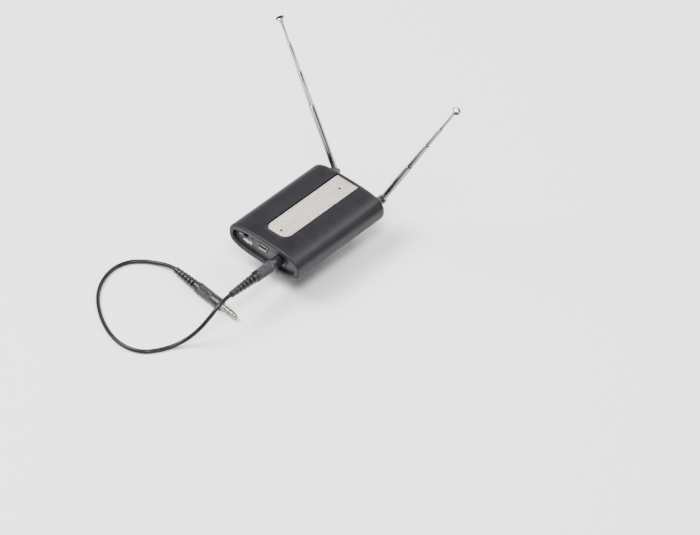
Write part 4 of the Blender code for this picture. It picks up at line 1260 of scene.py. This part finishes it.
def buildAntennaPanel():
    panel = panelPlate("antennaPanel", "antenna_panel")
    faceY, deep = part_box("antenna_panel")[1].y, socketEnd["deep"]
    for side in ("left", "right"):
        pivot = Vector(joints[f"{side}_tilt"]["pos_m"])
        carve(panel, pegMesh(socketEnd["rootHole"], -deep, deep, 48),
              at(pivot.x, faceY, pivot.z) @ facingFar)
    breakEdges(panel, socketEnd["edgeBreak"])


buildAntennaPanel()
for side in ("left", "right"):
    buildAntenna(side)
print("antennas built")


# Shoe adapter and screws

adapterLook = {
    "ridges": 26, "ridgeDepth": 0.5 * mm, "threadPitch": 0.75 * mm, "threadDepth": 0.22 * mm,
    "stud": 3.2 * mm, "gap": 0.3 * mm, "plateTop": 2.0 * mm, "plateCorner": 0.9 * mm,
    "plateEdge": 0.3 * mm, "root": 0.6 * mm, "groove": (1.2 * mm, 14 * mm, 0.8 * mm),
    "grooveX": 5.6 * mm, "baseCorner": 4 * mm, "headBore": 2.8 * mm, "shankBore": 1.4 * mm,
    "headHeight": 1.3 * mm,
}
screwLook = {
    "pitch": 0.5 * mm, "depth": 0.16 * mm, "crest": 0.2 * mm, "spin": 0.5,
    # count, head radius, head height, shank, cross
    "case": (4, 1.75 * mm, 1.1 * mm, 0.8 * mm, 1.9 * mm),
    "adapter": (2, 2.5 * mm, adapterLook["headHeight"], 1.1 * mm, 2.8 * mm),
}


def crossRecess(width, depth, thick):
    # tapered cross cut into a screw head, opening towards -Z
    bm = bmesh.new()
    rings = []
    for z, far in ((-depth, width / 2), (0, width / 2 * 0.55)):
        near = thick / 2
        outline = []
        for turn in range(4):
            spin = Matrix.Rotation(turn * math.pi / 2, 3, 'Z')
            outline += [spin @ Vector((x, y, z)) for x, y in
                        ((near, near), (near, far), (-near, far))]
        rings.append([bm.verts.new(point) for point in outline])
    joinRings(bm, rings)
    return closedMesh("cross", bm)


def buildScrew(name, node, headRadius, headHeight, shank, recess):
    low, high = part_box(node)
    x, y = middle(node).xy
    crest, pitch = screwLook["crest"], screwLook["pitch"]
    profile = softened([(0, 0), (headRadius, 0), (headRadius, headHeight), (shank, headHeight)],
                       0.25 * mm, 3)
    for step in range(int((high.z - low.z - headHeight) / pitch)):
        z = headHeight + crest + step * pitch
        profile += [(shank - screwLook["depth"], z), (shank, z + crest)]
    profile += [(0.3 * shank, high.z - low.z), (0, high.z - low.z)]
    screw = linkPiece(name, turnedMesh(name, profile, 36), "darkSteel", "case", (node,),
                      at(x, y, low.z))
    cross = crossRecess(recess, recess * 0.55, recess * 0.22)
    carve(screw, cross, at(x, y, low.z + recess * 0.5)
          @ Matrix.Rotation(screwLook["spin"], 4, 'Z'))


def buildFoot():
    low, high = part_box("shoe_foot")
    look = adapterLook
    plateTop, edge, root, pitch = (look[key] for key in ("plateTop", "plateEdge", "root",
                                                         "threadPitch"))
    outline = roundRect((high.x - low.x) / 2, (high.y - low.y) / 2, look["plateCorner"], 4)
    mesh = prismMesh("shoeFoot", outline, [(0, edge), (edge, 0), (plateTop - edge, 0),
                                           (plateTop, edge)])
    foot = linkPiece("shoeFoot", mesh, "anodised", "case", ("shoe_foot",))
    bm = bmesh.new()
    sides, step = 48, pitch / 6
    rings = []
    for row in range(int((high.z - plateTop + root) / step) + 1):
        z = plateTop - root + row * step

        def threadRadius(i):
            if z <= plateTop + edge:
                return look["stud"] - look["threadDepth"]
            phase = (z / pitch - i / sides) % 1.0
            return look["stud"] - look["threadDepth"] * abs(2 * phase - 1)
        rings.append(roundRing(bm, sides, threadRadius, z))
    joinRings(bm, rings)
    carve(foot, closedMesh("stud", bm, 60), operation='UNION')
    for side in (-1, 1):                                 # spring grooves along the underside
        groove = roundedBlock("groove", look["groove"], 0.2 * mm, 2)
        carve(foot, groove, at(side * look["grooveX"], 0))


def buildWasher():
    low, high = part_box("pressure_washer")
    radius, bore = (high.x - low.x) / 2, adapterLook["stud"] + adapterLook["gap"]
    profile = softened([(bore, low.z), (radius, low.z), (radius, high.z), (bore, high.z)],
                       0.25 * mm, 3, loop=True)
    linkPiece("pressureWasher", turnedMesh("pressureWasher", profile, 64, bored=True),
              "darkSteel", "clamp_washer", ("pressure_washer",))


def buildWheel():
    low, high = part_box("lock_wheel")
    look = adapterLook
    radius, perRidge = (high.y - low.y) / 2, 8
    sides = look["ridges"] * perRidge
    bore = look["stud"] + look["gap"]
    bm = bmesh.new()

    def rim(inset):
        def ridgeRadius(i):
            wave = 0.5 - 0.5 * math.cos(2 * math.pi * i / perRidge)
            return radius - inset - look["ridgeDepth"] * wave ** 2
        return ridgeRadius
    section = [(bore, high.z - 0.2 * mm), (bore, low.z + 0.2 * mm), (bore + 0.2 * mm, low.z),
               (8.4 * mm, low.z), (8.6 * mm, low.z + 0.25 * mm), (9.2 * mm, low.z + 0.25 * mm),
               (9.4 * mm, low.z), (rim(0.6 * mm), low.z), (rim(0.15 * mm), low.z + 0.35 * mm),
               (rim(0), low.z + 0.6 * mm), (rim(0), high.z - 0.6 * mm),
               (rim(0.15 * mm), high.z - 0.35 * mm), (rim(0.6 * mm), high.z),
               (bore + 0.2 * mm, high.z)]
    joinRings(bm, [roundRing(bm, sides, r, z) for r, z in section], loop=True)
    linkPiece("lockWheel", closedMesh("lockWheel", bm), "anodised", "clamp_wheel",
              ("lock_wheel",))


def buildBase():
    low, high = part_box("adapter_base")
    look = adapterLook
    outline = roundRect((high.x - low.x) / 2, (high.y - low.y) / 2, look["baseCorner"], 8)
    mesh = prismMesh("adapterBase", outline, [
        (low.z, 0.9 * mm), (low.z + 0.12 * mm, 0.6 * mm), (low.z + 0.35 * mm, 0.25 * mm),
        (low.z + 0.8 * mm, 0), (high.z - 0.25 * mm, 0), (high.z, 0.2 * mm)])
    base = linkPiece("adapterBase", mesh, "caseBlack", "case", ("adapter_base",))
    for index in (1, 2):
        x, y = middle(f"adapter_screw_{index}").xy
        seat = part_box(f"adapter_screw_{index}")[0].z + look["headHeight"] + look["gap"]
        carve(base, steppedBore(look["headBore"], look["shankBore"], low.z - mm, seat,
                                high.z + mm), at(x, y))
    socket = pegMesh(look["stud"] + look["gap"], low.z - mm,
                     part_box("shoe_foot")[1].z + 0.5 * mm)
    carve(base, socket)
    breakEdges(base, 0.1 * mm)


buildFoot()
buildWasher()
buildWheel()
buildBase()
for kind in ("case", "adapter"):
    count, *sizes = screwLook[kind]
    for index in range(1, count + 1):
        buildScrew(f"{kind}Screw{index}", f"{kind}_screw_{index}", *sizes)
print("shoe adapter and screws built")


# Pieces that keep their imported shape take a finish

keptFinishes = {
    "circuit_board": "boardGreen", "battery_cell": "foilSilver", "radio_shield": "foilSilver",
    "switch_housing": "foilSilver", "jack_body": "socketBlack", "left_antenna_nut": "darkSteel",
    "right_antenna_nut": "darkSteel",
}
for node, finish in keptFinishes.items():
    nodes[node].data.materials.clear()
    nodes[node].data.materials.append(materials[finish])
